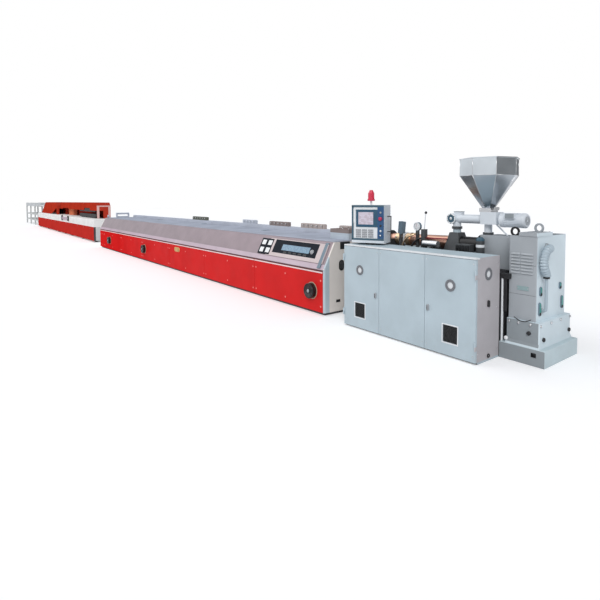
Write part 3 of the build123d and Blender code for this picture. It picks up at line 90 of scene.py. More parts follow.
def at(station: float) -> float:
    """Turn a station along the line into the frame's x.

    Args:
        station: metres from the cabinet's end face beside the gear tower.

    Returns:
        The x in metres.
    """
    return station + Line.zero


class Graph:
    """The node tree of a material or world, with short calls for its nodes."""

    def __init__(self, owner: bpy.types.ID, output: str = "OutputMaterial") -> None:
        """Start an empty node tree.

        Args:
            owner: the material or world.
            output: its output node's type after "ShaderNode".
        """
        owner.use_nodes = True
        self.owner = owner
        self.tree = owner.node_tree
        self.tree.nodes.clear()
        self.output = self.node(output)
        self.coordinates = self.node("TexCoord").outputs["Object"]

    def close(self, shader: bpy.types.NodeSocket) -> None:
        """Join the last shader to the output."""
        self.tree.links.new(shader, self.output.inputs[0])

    def node(self, kind: str, inputs: Optional[dict] = None, **settings: object) -> bpy.types.Node:
        """Add one node.

        Args:
            kind: the node's type after "ShaderNode".
            inputs: values or sockets for its inputs, by name or number.
            **settings: the node's own settings.

        Returns:
            The new node.
        """
        made = self.tree.nodes.new("ShaderNode" + kind)
        for key, value in settings.items():
            setattr(made, key, value)
        for key, value in (inputs or {}).items():
            socket = made.inputs[key]
            if isinstance(value, bpy.types.NodeSocket):
                self.tree.links.new(value, socket)
            elif isinstance(value, tuple) and len(value) == 3 and socket.type == "RGBA":
                socket.default_value = (*value, 1.0)
            else:
                socket.default_value = value
        return made

    def math(self, operation: str, first: object, second: object = 0.0) -> bpy.types.NodeSocket:
        """Add a math node and give its result."""
        return self.node("Math", {0: first, 1: second}, operation=operation).outputs[0]

    def noise(
        self, scale: float, detail: float = 3.0, stretch: Point = (1.0, 1.0, 1.0),
    ) -> bpy.types.NodeSocket:
        """Add noise in the frame's metres, stretched along chosen axes.

        Args:
            scale: how many features to the metre.
            detail: how many finer layers it has.
            stretch: how much finer the noise is along each axis.

        Returns:
            The noise value, from 0 to 1.
        """
        mapped = self.node("Mapping", {"Vector": self.coordinates, "Scale": stretch}).outputs[0]
        return self.node("TexNoise", {"Vector": mapped, "Scale": scale, "Detail": detail}).outputs[0]

    def ramp(
        self, value: bpy.types.NodeSocket, low: float, high: float, to_low: float, to_high: float,
    ) -> bpy.types.NodeSocket:
        """Map a value from one span to another, held at both ends."""
        return self.node(
            "MapRange", {0: value, 1: low, 2: high, 3: to_low, 4: to_high}, clamp=True
        ).outputs[0]

    def mix(self, share: object, first: object, second: object) -> bpy.types.NodeSocket:
        """Mix two colours by a share."""
        return self.node("Mix", {0: share, 6: first, 7: second}, data_type="RGBA").outputs[2]

    def soft_normal(self, radius: float) -> bpy.types.NodeSocket:
        """The surface normal, rounded near sharp edges."""
        return self.node("Bevel", {"Radius": radius}, samples=4).outputs[0]

    def edge(self, normal: bpy.types.NodeSocket) -> bpy.types.NodeSocket:
        """How near the surface is to a sharp edge.

        Args:
            normal: the surface normal, rounded near edges.

        Returns:
            The nearness, from 0 to 1.
        """
        true_normal = self.node("NewGeometry").outputs["True Normal"]
        dot = self.node("VectorMath", {0: normal, 1: true_normal}, operation="DOT_PRODUCT").outputs["Value"]
        return self.ramp(dot, 0.995, 0.9, 0.0, 1.0)

    def bump(
        self, height: bpy.types.NodeSocket, depth: float, normal: bpy.types.NodeSocket,
    ) -> bpy.types.NodeSocket:
        """Add small relief of a given depth in metres on a normal."""
        return self.node(
            "Bump", {"Strength": 1.0, "Distance": depth, "Height": height, "Normal": normal}
        ).outputs[0]

    def inside(self, low: Point, high: Point) -> bpy.types.NodeSocket:
        """A mask of a box of the frame.

        Args:
            low: its lowest corner.
            high: its highest corner.

        Returns:
            The mask, 1 inside and 0 outside.
        """
        parts = self.node("SeparateXYZ", {0: self.coordinates})
        share: object = 1.0
        for index in range(3):
            above = self.math("GREATER_THAN", parts.outputs[index], low[index])
            below = self.math("LESS_THAN", parts.outputs[index], high[index])
            both = self.math("MULTIPLY", above, below)
            share = both if share == 1.0 else self.math("MULTIPLY", share, both)
        return share


@dataclass(frozen=True)
class Finish:
    """A surface finish; each kind adds its own shader to a graph."""

    name: str
    colour: Colour
    roughness: float = 0.4

    def shader(self, graph: Graph) -> bpy.types.NodeSocket:
        """Add this finish's shader to a graph and give its output."""
        raise NotImplementedError


@dataclass(frozen=True)
class Enamel(Finish):
    """Sprayed enamel: slight orange peel, uneven sheen, dust low down and a painted highlight along its
    edges.
    """

    mottling: float = 0.06
    peel: float = 0.00012
    coat: float = 0.25
    # how much lighter the painted edge highlight is
    edge_highlight_gain: float = 1.25
    dust: float = 0.12
    softness: float = 0.003
    specular: float = 0.35
    flat_sheen: float = 0.0

    def shader(self, graph: Graph) -> bpy.types.NodeSocket:
        """Add the enamel's shader to a graph."""
        normal = graph.soft_normal(self.softness)
        clouds = graph.noise(2.2, 4.0)
        dark = tuple(c * (1 - self.mottling) for c in self.colour)
        light = tuple(min(c * (1 + self.mottling), 1.0) for c in self.colour)
        base = graph.mix(graph.ramp(clouds, 0.35, 0.65, 0.0, 1.0), dark, light)
        # painted highlight: sharp edges are mixed towards a lighter copy of the colour
        rim = tuple(min(c * self.edge_highlight_gain + 0.02, 1.0) for c in self.colour)
        base = graph.mix(graph.math("MULTIPLY", graph.edge(normal), 0.7), base, rim)
        height = graph.node("SeparateXYZ", {0: graph.coordinates}).outputs[2]
        low_down = graph.ramp(height, 0.0, 0.35, self.dust, 0.0)
        streaks = graph.ramp(graph.noise(14.0, 5.0), 0.4, 0.7, 0.3, 1.0)
        base = graph.mix(graph.math("MULTIPLY", low_down, streaks), base, (0.22, 0.2, 0.18))
        sheen = graph.ramp(graph.noise(5.0, 3.0), 0.3, 0.7, self.roughness - 0.05, self.roughness + 0.07)
        relief = graph.bump(graph.noise(260.0, 2.0), self.peel, normal)
        facing = graph.node("LayerWeight", {"Blend": 0.5}).outputs["Facing"]
        return graph.node("BsdfPrincipled", {
            "Base Color": base, "Roughness": sheen, "Normal": relief,
            "Coat Weight": graph.ramp(facing, 0.4, 0.75, self.coat, self.flat_sheen), "Coat Roughness": 0.2,
            "Specular IOR Level": graph.ramp(facing, 0.4, 0.75, self.specular, self.flat_sheen),
        }).outputs[0]


@dataclass(frozen=True)
class BrushedMetal(Finish):
    """Bare metal with fine brushed lines along one way and soft smudges."""

    grain: Point = (1.0, 40.0, 40.0)
    metallic: float = 1.0
    depth: float = 0.00006
    tint: float = 0.08

    def shader(self, graph: Graph) -> bpy.types.NodeSocket:
        """Add the metal's shader to a graph."""
        normal = graph.soft_normal(0.002)
        lines = graph.noise(14.0, 4.0, self.grain)
        smudge = graph.noise(3.0, 3.0)
        dark = tuple(c * (1 - self.tint) for c in self.colour)
        light = tuple(min(c * (1 + self.tint), 1.0) for c in self.colour)
        base = graph.mix(graph.ramp(smudge, 0.35, 0.65, 0.0, 1.0), dark, light)
        base = graph.mix(graph.ramp(lines, 0.3, 0.7, 0.0, 0.25), base, light)
        sheen = graph.ramp(lines, 0.25, 0.75, self.roughness - 0.06, self.roughness + 0.08)
        relief = graph.bump(lines, self.depth, normal)
        return graph.node("BsdfPrincipled", {
            "Base Color": base, "Metallic": self.metallic, "Roughness": sheen, "Normal": relief,
        }).outputs[0]


@dataclass(frozen=True)
class Cast(Finish):
    """Rough casting under paint, or black oxide: pitted, with oily patches and a painted highlight along its
    edges.
    """

    pits: float = 0.0006
    metallic: float = 0.2

    def shader(self, graph: Graph) -> bpy.types.NodeSocket:
        """Add the casting's shader to a graph."""
        normal = graph.soft_normal(0.003)
        pits = graph.noise(160.0, 4.0)
        oil = graph.noise(9.0, 4.0)
        dark = tuple(c * 0.7 for c in self.colour)
        base = graph.mix(graph.ramp(oil, 0.4, 0.62, 0.0, 1.0), self.colour, dark)
        # painted highlight: sharp edges are mixed towards a much lighter copy of the colour
        base = graph.mix(
            graph.math("MULTIPLY", graph.edge(normal), 0.5), base, tuple(c * 1.6 + 0.03 for c in self.colour),
        )
        sheen = graph.ramp(oil, 0.4, 0.62, self.roughness, self.roughness - 0.15)
        return graph.node("BsdfPrincipled", {
            "Base Color": base, "Metallic": self.metallic, "Roughness": sheen,
            "Normal": graph.bump(pits, self.pits, normal),
        }).outputs[0]


@dataclass(frozen=True)
class Moulded(Finish):
    """Moulded plastic or rubber with a fine grain."""

    grain: float = 0.0002
    scale: float = 420.0
    glow: float = 0.0

    def shader(self, graph: Graph) -> bpy.types.NodeSocket:
        """Add the plastic's shader to a graph."""
        normal = graph.soft_normal(0.0015)
        grain = graph.noise(self.scale, 2.0)
        wear = graph.noise(7.0, 3.0)
        base = graph.mix(
            graph.ramp(wear, 0.4, 0.7, 0.0, 0.35), self.colour, tuple(c * 1.25 + 0.01 for c in self.colour),
        )
        values = {
            "Base Color": base,
            "Roughness": graph.ramp(wear, 0.3, 0.7, self.roughness - 0.05, self.roughness + 0.08),
            "Normal": graph.bump(grain, self.grain, normal),
        }
        if self.glow:
            values["Emission Color"] = base
            values["Emission Strength"] = self.glow
        return graph.node("BsdfPrincipled", values).outputs[0]


@dataclass(frozen=True)
class VentMesh(Finish):
    """Black expanded mesh behind a vent frame, with painted shade in its openings."""

    pitch: float = 90.0

    def shader(self, graph: Graph) -> bpy.types.NodeSocket:
        """Add the mesh's shader to a graph."""
        normal = graph.soft_normal(0.001)
        cells = graph.node(
            "TexVoronoi", {"Vector": graph.coordinates, "Scale": self.pitch}, feature="DISTANCE_TO_EDGE",
        )
        web = graph.ramp(cells.outputs["Distance"], 0.05, 0.14, 1.0, 0.0)
        # painted shade: the openings between the strands are painted near-black
        base = graph.mix(web, (0.002, 0.002, 0.002), self.colour)
        return graph.node("BsdfPrincipled", {
            "Base Color": base, "Roughness": self.roughness, "Normal": graph.bump(web, 0.0012, normal),
        }).outputs[0]


@dataclass(frozen=True)
class Screen(Finish):
    """A dim display behind glass, with plain fields and no lettering."""

    bright: Colour = (0.62, 0.6, 0.7)
    rows: float = 55.0

    def shader(self, graph: Graph) -> bpy.types.NodeSocket:
        """Add the display's shader to a graph."""
        parts = graph.node("SeparateXYZ", {0: graph.coordinates})
        bands = graph.math("FRACT", graph.math("MULTIPLY", parts.outputs[2], self.rows))
        field_mask = graph.math("GREATER_THAN", bands, 0.35)
        patches = graph.ramp(graph.noise(24.0, 1.0), 0.5, 0.52, 0.0, 0.55)
        share = graph.math("MULTIPLY", field_mask, patches)
        base = graph.mix(share, self.colour, self.bright)
        return graph.node("BsdfPrincipled", {
            "Base Color": base, "Roughness": 0.18, "Coat Weight": 0.6, "Coat Roughness": 0.05,
            "Emission Color": base, "Emission Strength": 0.15,
        }).outputs[0]


@dataclass(frozen=True)
class Lens(Finish):
    """A ribbed translucent warning lamp lens."""

    def shader(self, graph: Graph) -> bpy.types.NodeSocket:
        """Add the lens's shader to a graph."""
        normal = graph.soft_normal(0.001)
        bands = graph.noise(30.0, 2.0, (1.0, 1.0, 6.0))
        base = graph.mix(
            graph.ramp(bands, 0.3, 0.7, 0.0, 0.6), self.colour,
            tuple(min(c * 1.5 + 0.02, 1.0) for c in self.colour),
        )
        return graph.node("BsdfPrincipled", {
            "Base Color": base, "Roughness": self.roughness, "Transmission Weight": 0.25,
            "Coat Weight": 0.7, "Coat Roughness": 0.08, "Emission Color": base, "Emission Strength": 0.12,
            "Normal": graph.bump(bands, 0.0005, normal),
        }).outputs[0]


@dataclass(frozen=True)
class Zone:
    """A box of the frame in which a part has another finish."""

    low: Point
    high: Point
    finish: Finish


class Stock:
    """Makes each material once."""

    def __init__(self) -> None:
        """Start with no materials made."""
        self.made: dict[str, bpy.types.Material] = {}

    def material(self, finish: Finish, zones: Sequence[Zone] = (), name: str = "") -> bpy.types.Material:
        """Give the material of a finish, made on first use.

        Args:
            finish: the main finish.
            zones: boxes with other finishes, later ones on top.
            name: the material's name where zones make it special.

        Returns:
            The material.
        """
        key = name or finish.name
        if key not in self.made:
            graph = Graph(bpy.data.materials.new(key))
            shader = finish.shader(graph)
            for zone in zones:
                mask = graph.inside(zone.low, zone.high)
                shader = graph.node(
                    "MixShader", {0: mask, 1: shader, 2: zone.finish.shader(graph)},
                ).outputs[0]
            graph.close(shader)
            self.made[key] = graph.owner
        return self.made[key]


class Paint:
    """The line's finishes, matched to the photo."""

    blue_grey = Enamel("blue_grey_enamel", (0.445, 0.53, 0.58), 0.36)
    # painted shade: a darker, greyer copy of the blue-grey paint for the cabinets' end faces
    shaded_end_grey = Enamel("shaded_end_grey_enamel", (0.46, 0.44, 0.46), 0.42)
    pale_grey = Enamel("pale_grey_enamel", (0.66, 0.70, 0.745), 0.35)
    machine_grey = Enamel("machine_grey_enamel", (0.26, 0.29, 0.31), 0.4)
    # lit and shaded copies of one paint: the tower's sides, its end face and the foot's sides
    tower_side = Enamel("tower_side_enamel", (0.36, 0.385, 0.41), 0.4)
    tower_end = Enamel("tower_end_enamel", (0.62, 0.71, 0.76), 0.4)
    base_light = Enamel("base_light_enamel", (0.52, 0.62, 0.66), 0.4)
    pipe_grey = Enamel("pipe_grey_enamel", (0.36, 0.43, 0.48), 0.4, dust=0.0)
    slate = Enamel("slate_enamel", (0.13, 0.19, 0.24), 0.4, dust=0.0)
    bare_plate = Enamel("bare_plate", (0.26, 0.36, 0.37), 0.4, dust=0.0)
    stainless = BrushedMetal("stainless_sheet", (0.84, 0.89, 0.92), 0.17, (40.0, 40.0, 1.0))
    # painted reflection: a darker copy of the hopper's stainless for its cone
    shaded_cone = BrushedMetal("stainless_cone", (0.50, 0.54, 0.58), 0.2, (40.0, 40.0, 1.0))
    shoulder = BrushedMetal("table_stainless", (0.27, 0.215, 0.235), 0.42, (1.0, 40.0, 40.0), 0.6)
    deck = Enamel("blue_grey_deck", (0.40, 0.43, 0.51), 0.42, mottling=0.1, dust=0.0)
    red = Enamel(
        "red_enamel", (0.63, 0.016, 0.016), 0.42, 0.05, coat=0.0, edge_highlight_gain=1.35, dust=0.0, specular=0.08,
    )
    hood_red = Enamel("hood_red_enamel", (0.44, 0.035, 0.016), 0.45, 0.08, coat=0.02, dust=0.0, specular=0.1)
    base_red = Enamel("base_red_enamel", (0.50, 0.032, 0.024), 0.4, 0.06, coat=0.02, dust=0.0, specular=0.08)
    warm_grey = Enamel("warm_grey_enamel", (0.72, 0.665, 0.62), 0.45)
    dark = Enamel("dark_frame", (0.045, 0.045, 0.05), 0.45, edge_highlight_gain=2.0)
    black = Moulded("black_plastic", (0.012, 0.012, 0.014), 0.42)
    rubber = Moulded("black_rubber", (0.02, 0.02, 0.02), 0.7, 0.0006, 120.0)
    white = Enamel("white_enamel", (0.80, 0.80, 0.79), 0.4, dust=0.0)
    panel_white = Enamel("panel_white", (0.74, 0.76, 0.78), 0.4, dust=0.0)
    frame_blue = Enamel("frame_blue_enamel", (0.045, 0.10, 0.14), 0.4, dust=0.0)
    column_blue = Enamel("column_blue_enamel", (0.022, 0.08, 0.19), 0.4, dust=0.0)
    teal = Moulded("teal_bezel", (0.018, 0.075, 0.13), 0.35)
    lilac_screen = Screen("lilac_screen", (0.46, 0.40, 0.46))
    blue_screen = Screen("blue_screen", (0.045, 0.14, 0.24), bright=(0.09, 0.25, 0.36))
    key_grey = Moulded("grey_keys", (0.33, 0.34, 0.36), 0.5)
    key_white = Moulded("white_keys", (0.78, 0.79, 0.8), 0.45)
    lens_red = Lens("beacon_red", (0.56, 0.02, 0.06), 0.22)
    mushroom = Moulded("red_button", (0.45, 0.02, 0.08), 0.3)
    copper = BrushedMetal("nitrided_steel", (0.62, 0.36, 0.27), 0.34, (1.0, 30.0, 30.0), tint=0.16)
    bronze = BrushedMetal("cast_bronze", (0.74, 0.55, 0.36), 0.4, (1.0, 20.0, 20.0), tint=0.2)
    steel = BrushedMetal("bright_steel", (0.70, 0.70, 0.71), 0.25, (1.0, 30.0, 30.0))
    zinc = BrushedMetal("galvanised_steel", (0.60, 0.62, 0.63), 0.45, (1.0, 8.0, 8.0), 0.85, tint=0.14)
    tool = Cast("tool_steel", (0.05, 0.05, 0.055), 0.45, metallic=0.5)
    calibrator_grey = Enamel("calibrator_grey", (0.50, 0.56, 0.62), 0.4, dust=0.0)
    casting = Cast("dark_grey_casting", (0.075, 0.08, 0.085), 0.5)
    black_steel = Cast("black_steel", (0.015, 0.015, 0.016), 0.4, metallic=0.4)
    olive = Enamel("olive_grey_enamel", (0.12, 0.125, 0.10), 0.5, dust=0.0)
    tan = Enamel("tan_enamel", (0.42, 0.355, 0.33), 0.5, dust=0.0)
    brown_grey = Enamel("grey_brown_enamel", (0.24, 0.19, 0.18), 0.5, dust=0.0)
    stacker = Enamel("light_grey_enamel", (0.56, 0.575, 0.57), 0.45)
    gold = BrushedMetal("gold_plug", (0.80, 0.52, 0.20), 0.35)
    green_glass = Moulded("sight_glass", (0.05, 0.27, 0.24), 0.15)
    mesh = VentMesh("vent_mesh", (0.05, 0.05, 0.052), 0.5)
    trim_light = Enamel("light_trim", (0.80, 0.66, 0.66), 0.4, dust=0.0)
    trim_brown = Enamel("brown_trim", (0.10, 0.045, 0.045), 0.5, dust=0.0)
    dark_red = Enamel("dark_red_pipe", (0.22, 0.02, 0.03), 0.35, dust=0.0)
    gasket = Moulded("dark_gasket", (0.03, 0.03, 0.032), 0.6)
    ring_grey = Enamel("ring_grey_enamel", (0.16, 0.165, 0.18), 0.4, dust=0.0)
    khaki_ring = Enamel("khaki_ring_enamel", (0.42, 0.33, 0.24), 0.45, dust=0.0)
    mauve_strip = Enamel("mauve_strip_enamel", (0.50, 0.40, 0.46), 0.45, dust=0.0)
    duct = Enamel("duct_enamel", (0.50, 0.53, 0.60), 0.42, dust=0.0)
    pink_frame = Enamel("pale_pink_enamel", (0.72, 0.45, 0.42), 0.45, dust=0.0)
    orange = Enamel("saw_orange", (0.80, 0.24, 0.12), 0.4, dust=0.0)
    console_frame = Enamel("console_frame", (0.56, 0.47, 0.47), 0.42, dust=0.0)
    console_black = Enamel("console_black", (0.012, 0.015, 0.022), 0.5, coat=0.0, dust=0.0, specular=0.06)
    rivet = Enamel("pink_rivet", (0.75, 0.22, 0.20), 0.4, dust=0.0)


class Piece:
    """One visual piece, built part by part into a single mesh."""

    ring_sides: int = 40
    rib_step: float = 0.004
    bar_step: float = 0.012

    def __init__(self, name: str, stock: Stock) -> None:
        """Start an empty piece.

        Args:
            name: the piece's name.
            stock: where its materials come from.
        """
        self.name = name
        self.stock = stock
        self.mesh = bmesh.new()
        self.finishes: list[Finish] = []

    def _finish(self, faces: Sequence[bmesh.types.BMFace], finish: Finish, smooth: bool) -> None:
        """Give new faces their finish.

        Args:
            faces: the faces.
            finish: their finish.
            smooth: whether they are shaded as a curve.
        """
        if finish not in self.finishes:
            self.finishes.append(finish)
        index = self.finishes.index(finish)
        for face in faces:
            face.material_index = index
            face.smooth = smooth

    def box(
        self, low: Point, high: Point, finish: Finish, bevel: float = 0.0015, turn: Optional[Matrix] = None,
    ) -> None:
        """Add a box with rounded edges.

        Args:
            low: its lowest corner.
            high: its highest corner.
            finish: its finish.
            bevel: the edge radius.
            turn: a matrix applied to it last.
        """
        before = set(self.mesh.faces)
        size = [max(abs(h - l), 1e-5) for l, h in zip(low, high)]
        middle = [(h + l) / 2 for l, h in zip(low, high)]
        matrix = Matrix.Translation(middle) @ Matrix.Diagonal((*size, 1.0))
        if turn is not None:
            matrix = turn @ matrix
        made = bmesh.ops.create_cube(self.mesh, size=1.0, matrix=matrix)
        edges = {edge for vert in made["verts"] for edge in vert.link_edges}
        radius = min(bevel, min(size) * 0.3)
        bmesh.ops.bevel(
            self.mesh, geom=list(edges), offset=radius, segments=2, profile=0.6, affect="EDGES",
            clamp_overlap=True
        )
        self._finish([face for face in self.mesh.faces if face not in before], finish, False)

    def turned(
        self,
        profile: Sequence[tuple[float, float]],
        origin: Point,
        direction: Point,
        finish: Finish,
        sides: int = 32,
    ) -> None:
        """Turn a profile about an axis.

        Args:
            profile: (distance along the axis, radius) points from one end to the other.
            origin: where the axis starts.
            direction: which way the axis points.
            finish: the finish.
            sides: how many flats the round has.
        """
        before = set(self.mesh.faces)
        axis, side, other = self._axes(direction)
        rings = []
        for along, radius in profile:
            centre = Vector(origin) + axis * along
            if radius < 1e-6:
                rings.append([self.mesh.verts.new(centre)])
            else:
                rings.append(self._circle(centre, side, other, radius, sides))
        for low, high in zip(rings, rings[1:]):
            self._join(low, high)
        for ring, flip in ((rings[0], True), (rings[-1], False)):
            if len(ring) > 1:
                self.mesh.faces.new(list(reversed(ring)) if flip else ring)
        self._finish_round(before, finish)

    @staticmethod
    def _axes(direction: Point) -> tuple[Vector, Vector, Vector]:
        """A direction as a unit vector, with two that are square to it."""
        axis = Vector(direction).normalized()
        side = axis.orthogonal().normalized()
        return axis, side, axis.cross(side)

    def _circle(
        self, centre: Vector, side: Vector, other: Vector, radius: float, sides: int
    ) -> list[bmesh.types.BMVert]:
        """Add the points of a circle.

        Args:
            centre: its middle.
            side: the way to its first point.
            other: the way to the point a quarter round.
            radius: its radius.
            sides: how many points it has.

        Returns:
            The points.
        """
        return [
            self.mesh.verts.new(centre + (side * math.cos(a) + other * math.sin(a)) * radius)
            for a in (2 * math.pi * i / sides for i in range(sides))
        ]

    def _join(self, low: list[bmesh.types.BMVert], high: list[bmesh.types.BMVert]) -> None:
        """Add the faces between two rings.

        Args:
            low: the first ring, or a single point.
            high: the next ring, or a single point.
        """
        sides = max(len(low), len(high))
        if sides == 1:
            return
        for i in range(sides):
            j = (i + 1) % sides
            if len(low) == 1:
                self.mesh.faces.new((low[0], high[j], high[i]))
            elif len(high) == 1:
                self.mesh.faces.new((low[i], low[j], high[0]))
            else:
                self.mesh.faces.new((low[i], low[j], high[j], high[i]))

    def _finish_round(self, before: set[bmesh.types.BMFace], finish: Finish) -> None:
        """Turn the new faces outward and give them a smooth finish.

        Args:
            before: the faces that were there already.
            finish: the finish.
        """
        fresh = [face for face in self.mesh.faces if face not in before]
        bmesh.ops.recalc_face_normals(self.mesh, faces=fresh)
        self._finish(fresh, finish, True)

    def disc(
        self, centre: Point, direction: Point, radius: float, depth: float, finish: Finish, sides: int = 32,
    ) -> None:
        """Add a short round piece with a broken edge.

        Args:
            centre: the middle of its foot.
            direction: which way it stands out.
            radius: its radius.
            depth: how far it stands out.
            finish: its finish.
            sides: how many flats the round has.
        """
        lip = min(depth * 0.3, radius * 0.2)
        self.turned(
            [(0.0, radius), (depth - lip, radius), (depth, radius - lip), (depth, 0.0)],
            centre, direction, finish, sides,
        )

    def upright_slot(
        self, face: float, y: float, z: float, size: tuple[float, float], depth: float, finish: Finish,
    ) -> None:
        """Add an upright plate with round ends on a face that looks along x.

        Args:
            face: the x of the face.
            y: the plate's middle across the line.
            z: its middle height.
            size: its height and width.
            depth: how far it stands out.
            finish: its finish.
        """
        height, width = size
        reach = (height - width) / 2
        self.box((face, y - width / 2, z - reach), (face + depth, y + width / 2, z + reach), finish, 0.0006)
        for end in (z - reach, z + reach):
            self.disc((face, y, end), TO_END, width / 2, depth, finish)

    def ring(
        self, centre: Point, direction: Point, outer: float, inner: float, depth: float, finish: Finish,
    ) -> None:
        """Add a flat raised ring, standing on its centre.

        Args:
            centre: the middle of its foot.
            direction: which way it stands out.
            outer: its outer radius.
            inner: its inner radius.
            depth: how far it stands out.
            finish: its finish.
        """
        lip = min(depth * 0.3, (outer - inner) * 0.3)
        profile = [
            (0.0, outer), (depth - lip, outer), (depth, outer - lip),
            (depth, inner + lip), (depth - lip, inner), (0.0, inner),
        ]
        before = set(self.mesh.faces)
        axis, side, other = self._axes(direction)
        rings = [
            self._circle(Vector(centre) + axis * along, side, other, radius, self.ring_sides)
            for along, radius in profile
        ]
        for low, high in zip(rings, rings[1:] + rings[:1]):
            self._join(low, high)
        self._finish_round(before, finish)

    def screw(self, centre: Point, direction: Point) -> None:
        """Add a small flat screw head."""
        self.disc(centre, direction, 0.006, 0.0025, Paint.steel, 16)

    def tube(
        self, points: Sequence[Point], radius: float, finish: Finish, sides: int = 16, ripple: float = 0.0,
    ) -> None:
        """Sweep a round bar through points, with ripples for ribbed pipe.

        Args:
            points: the points that it passes through.
            radius: its radius.
            finish: its finish.
            sides: how many flats the round has.
            ripple: how far each rib stands out.
        """
        before = set(self.mesh.faces)
        line = self._smooth(points, self.rib_step if ripple else self.bar_step)
        rings = []
        side = None
        for index, point in enumerate(line):
            ahead = line[min(index + 1, len(line) - 1)] - line[max(index - 1, 0)]
            ahead.normalize()
            side = ahead.orthogonal() if side is None else side - ahead * side.dot(ahead)
            side.normalize()
            size = radius + (ripple if index % 6 in (2, 3, 4) else 0.0)
            rings.append(self._circle(point, side, ahead.cross(side), size, sides))
        for low, high in zip(rings, rings[1:]):
            self._join(low, high)
        self.mesh.faces.new(list(reversed(rings[0])))
        self.mesh.faces.new(rings[-1])
        self._finish_round(before, finish)

    @staticmethod
    def _smooth(points: Sequence[Point], step: float) -> list[Vector]:
        """Put evenly spaced points on a smooth line through the given ones.

        Args:
            points: the points that it passes through.
            step: about how far apart the new points are.

        Returns:
            The new points.
        """
        nodes = [Vector(p) for p in points]
        if len(nodes) == 2:
            return nodes
        line: list[Vector] = []
        for index in range(len(nodes) - 1):
            before = nodes[max(index - 1, 0)]
            start, stop = nodes[index], nodes[index + 1]
            after = nodes[min(index + 2, len(nodes) - 1)]
            count = max(int((stop - start).length / step), 2)
            for part in range(count):
                t = part / count
                line.append(0.5 * (
                    2 * start + (stop - before) * t + (2 * before - 5 * start + 4 * stop - after) * t * t
                    + (3 * start - before - 3 * stop + after) * t ** 3
                ))
        line.append(nodes[-1])
        return line

    def place(self, body: str, slot: str = "") -> bpy.types.Object:
        """Turn the piece into an object that rides on a body.

        Args:
            body: the body's name.
            slot: not used.

        Returns:
            The new object.
        """
        data = bpy.data.meshes.new(self.name)
        self.mesh.to_mesh(data)
        self.mesh.free()
        for finish in self.finishes:
            data.materials.append(self.stock.material(finish))
        made = bpy.data.objects.new(self.name, data)
        bpy.context.collection.objects.link(made)
        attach(made, body)
        LOG.info("%s: %d faces", self.name, len(data.polygons))
        return made


class Dresser:
    """Shared by all sub-assemblies: gives carried-over parts their materials."""

    def __init__(self, frame: dict, stock: Stock) -> None:
        """Keep the frame and the stock of materials.

        Args:
            stock: where materials come from.
        """
        self.nodes = frame["nodes"]
        self.stock = stock

    def dress(self, node: str, finish: Finish, zones: Sequence[Zone] = ()) -> None:
        """Give a carried-over part its material.

        Args:
            node: the part's name.
            finish: its main finish.
            zones: boxes with other finishes.
        """
        name = f"{node}_{finish.name}" if zones else ""
        material = self.stock.material(finish, zones, name)
        slots = self.nodes[node].material_slots
        if not slots:
            self.nodes[node].data.materials.append(material)
            return
        for index in range(len(slots)):
            slots[index].material = material

    def piece(self, name: str) -> Piece:
        """Start a new piece."""
        return Piece(name, self.stock)


@dataclass
class CabinetSizes:
    """The extruder cabinet's sizes that its dressing needs, in metres."""

    front: float = -0.760
    height: float = 1.030
    door_left: tuple[float, float] = (-1.915, -1.298)
    door_right: tuple[float, float] = (-0.620, 0.0)
    vent: float = 0.176
    vent_bottom: float = 0.150
    vent_inset: float = 0.205
    handle_inset: float = 0.05
    ring_inner: float = 0.034
    ring_reach: float = 0.07
    ring_height: float = 0.733
    handle_height: float = 0.465
    gland: Point = (0.0, -0.54, 0.039)


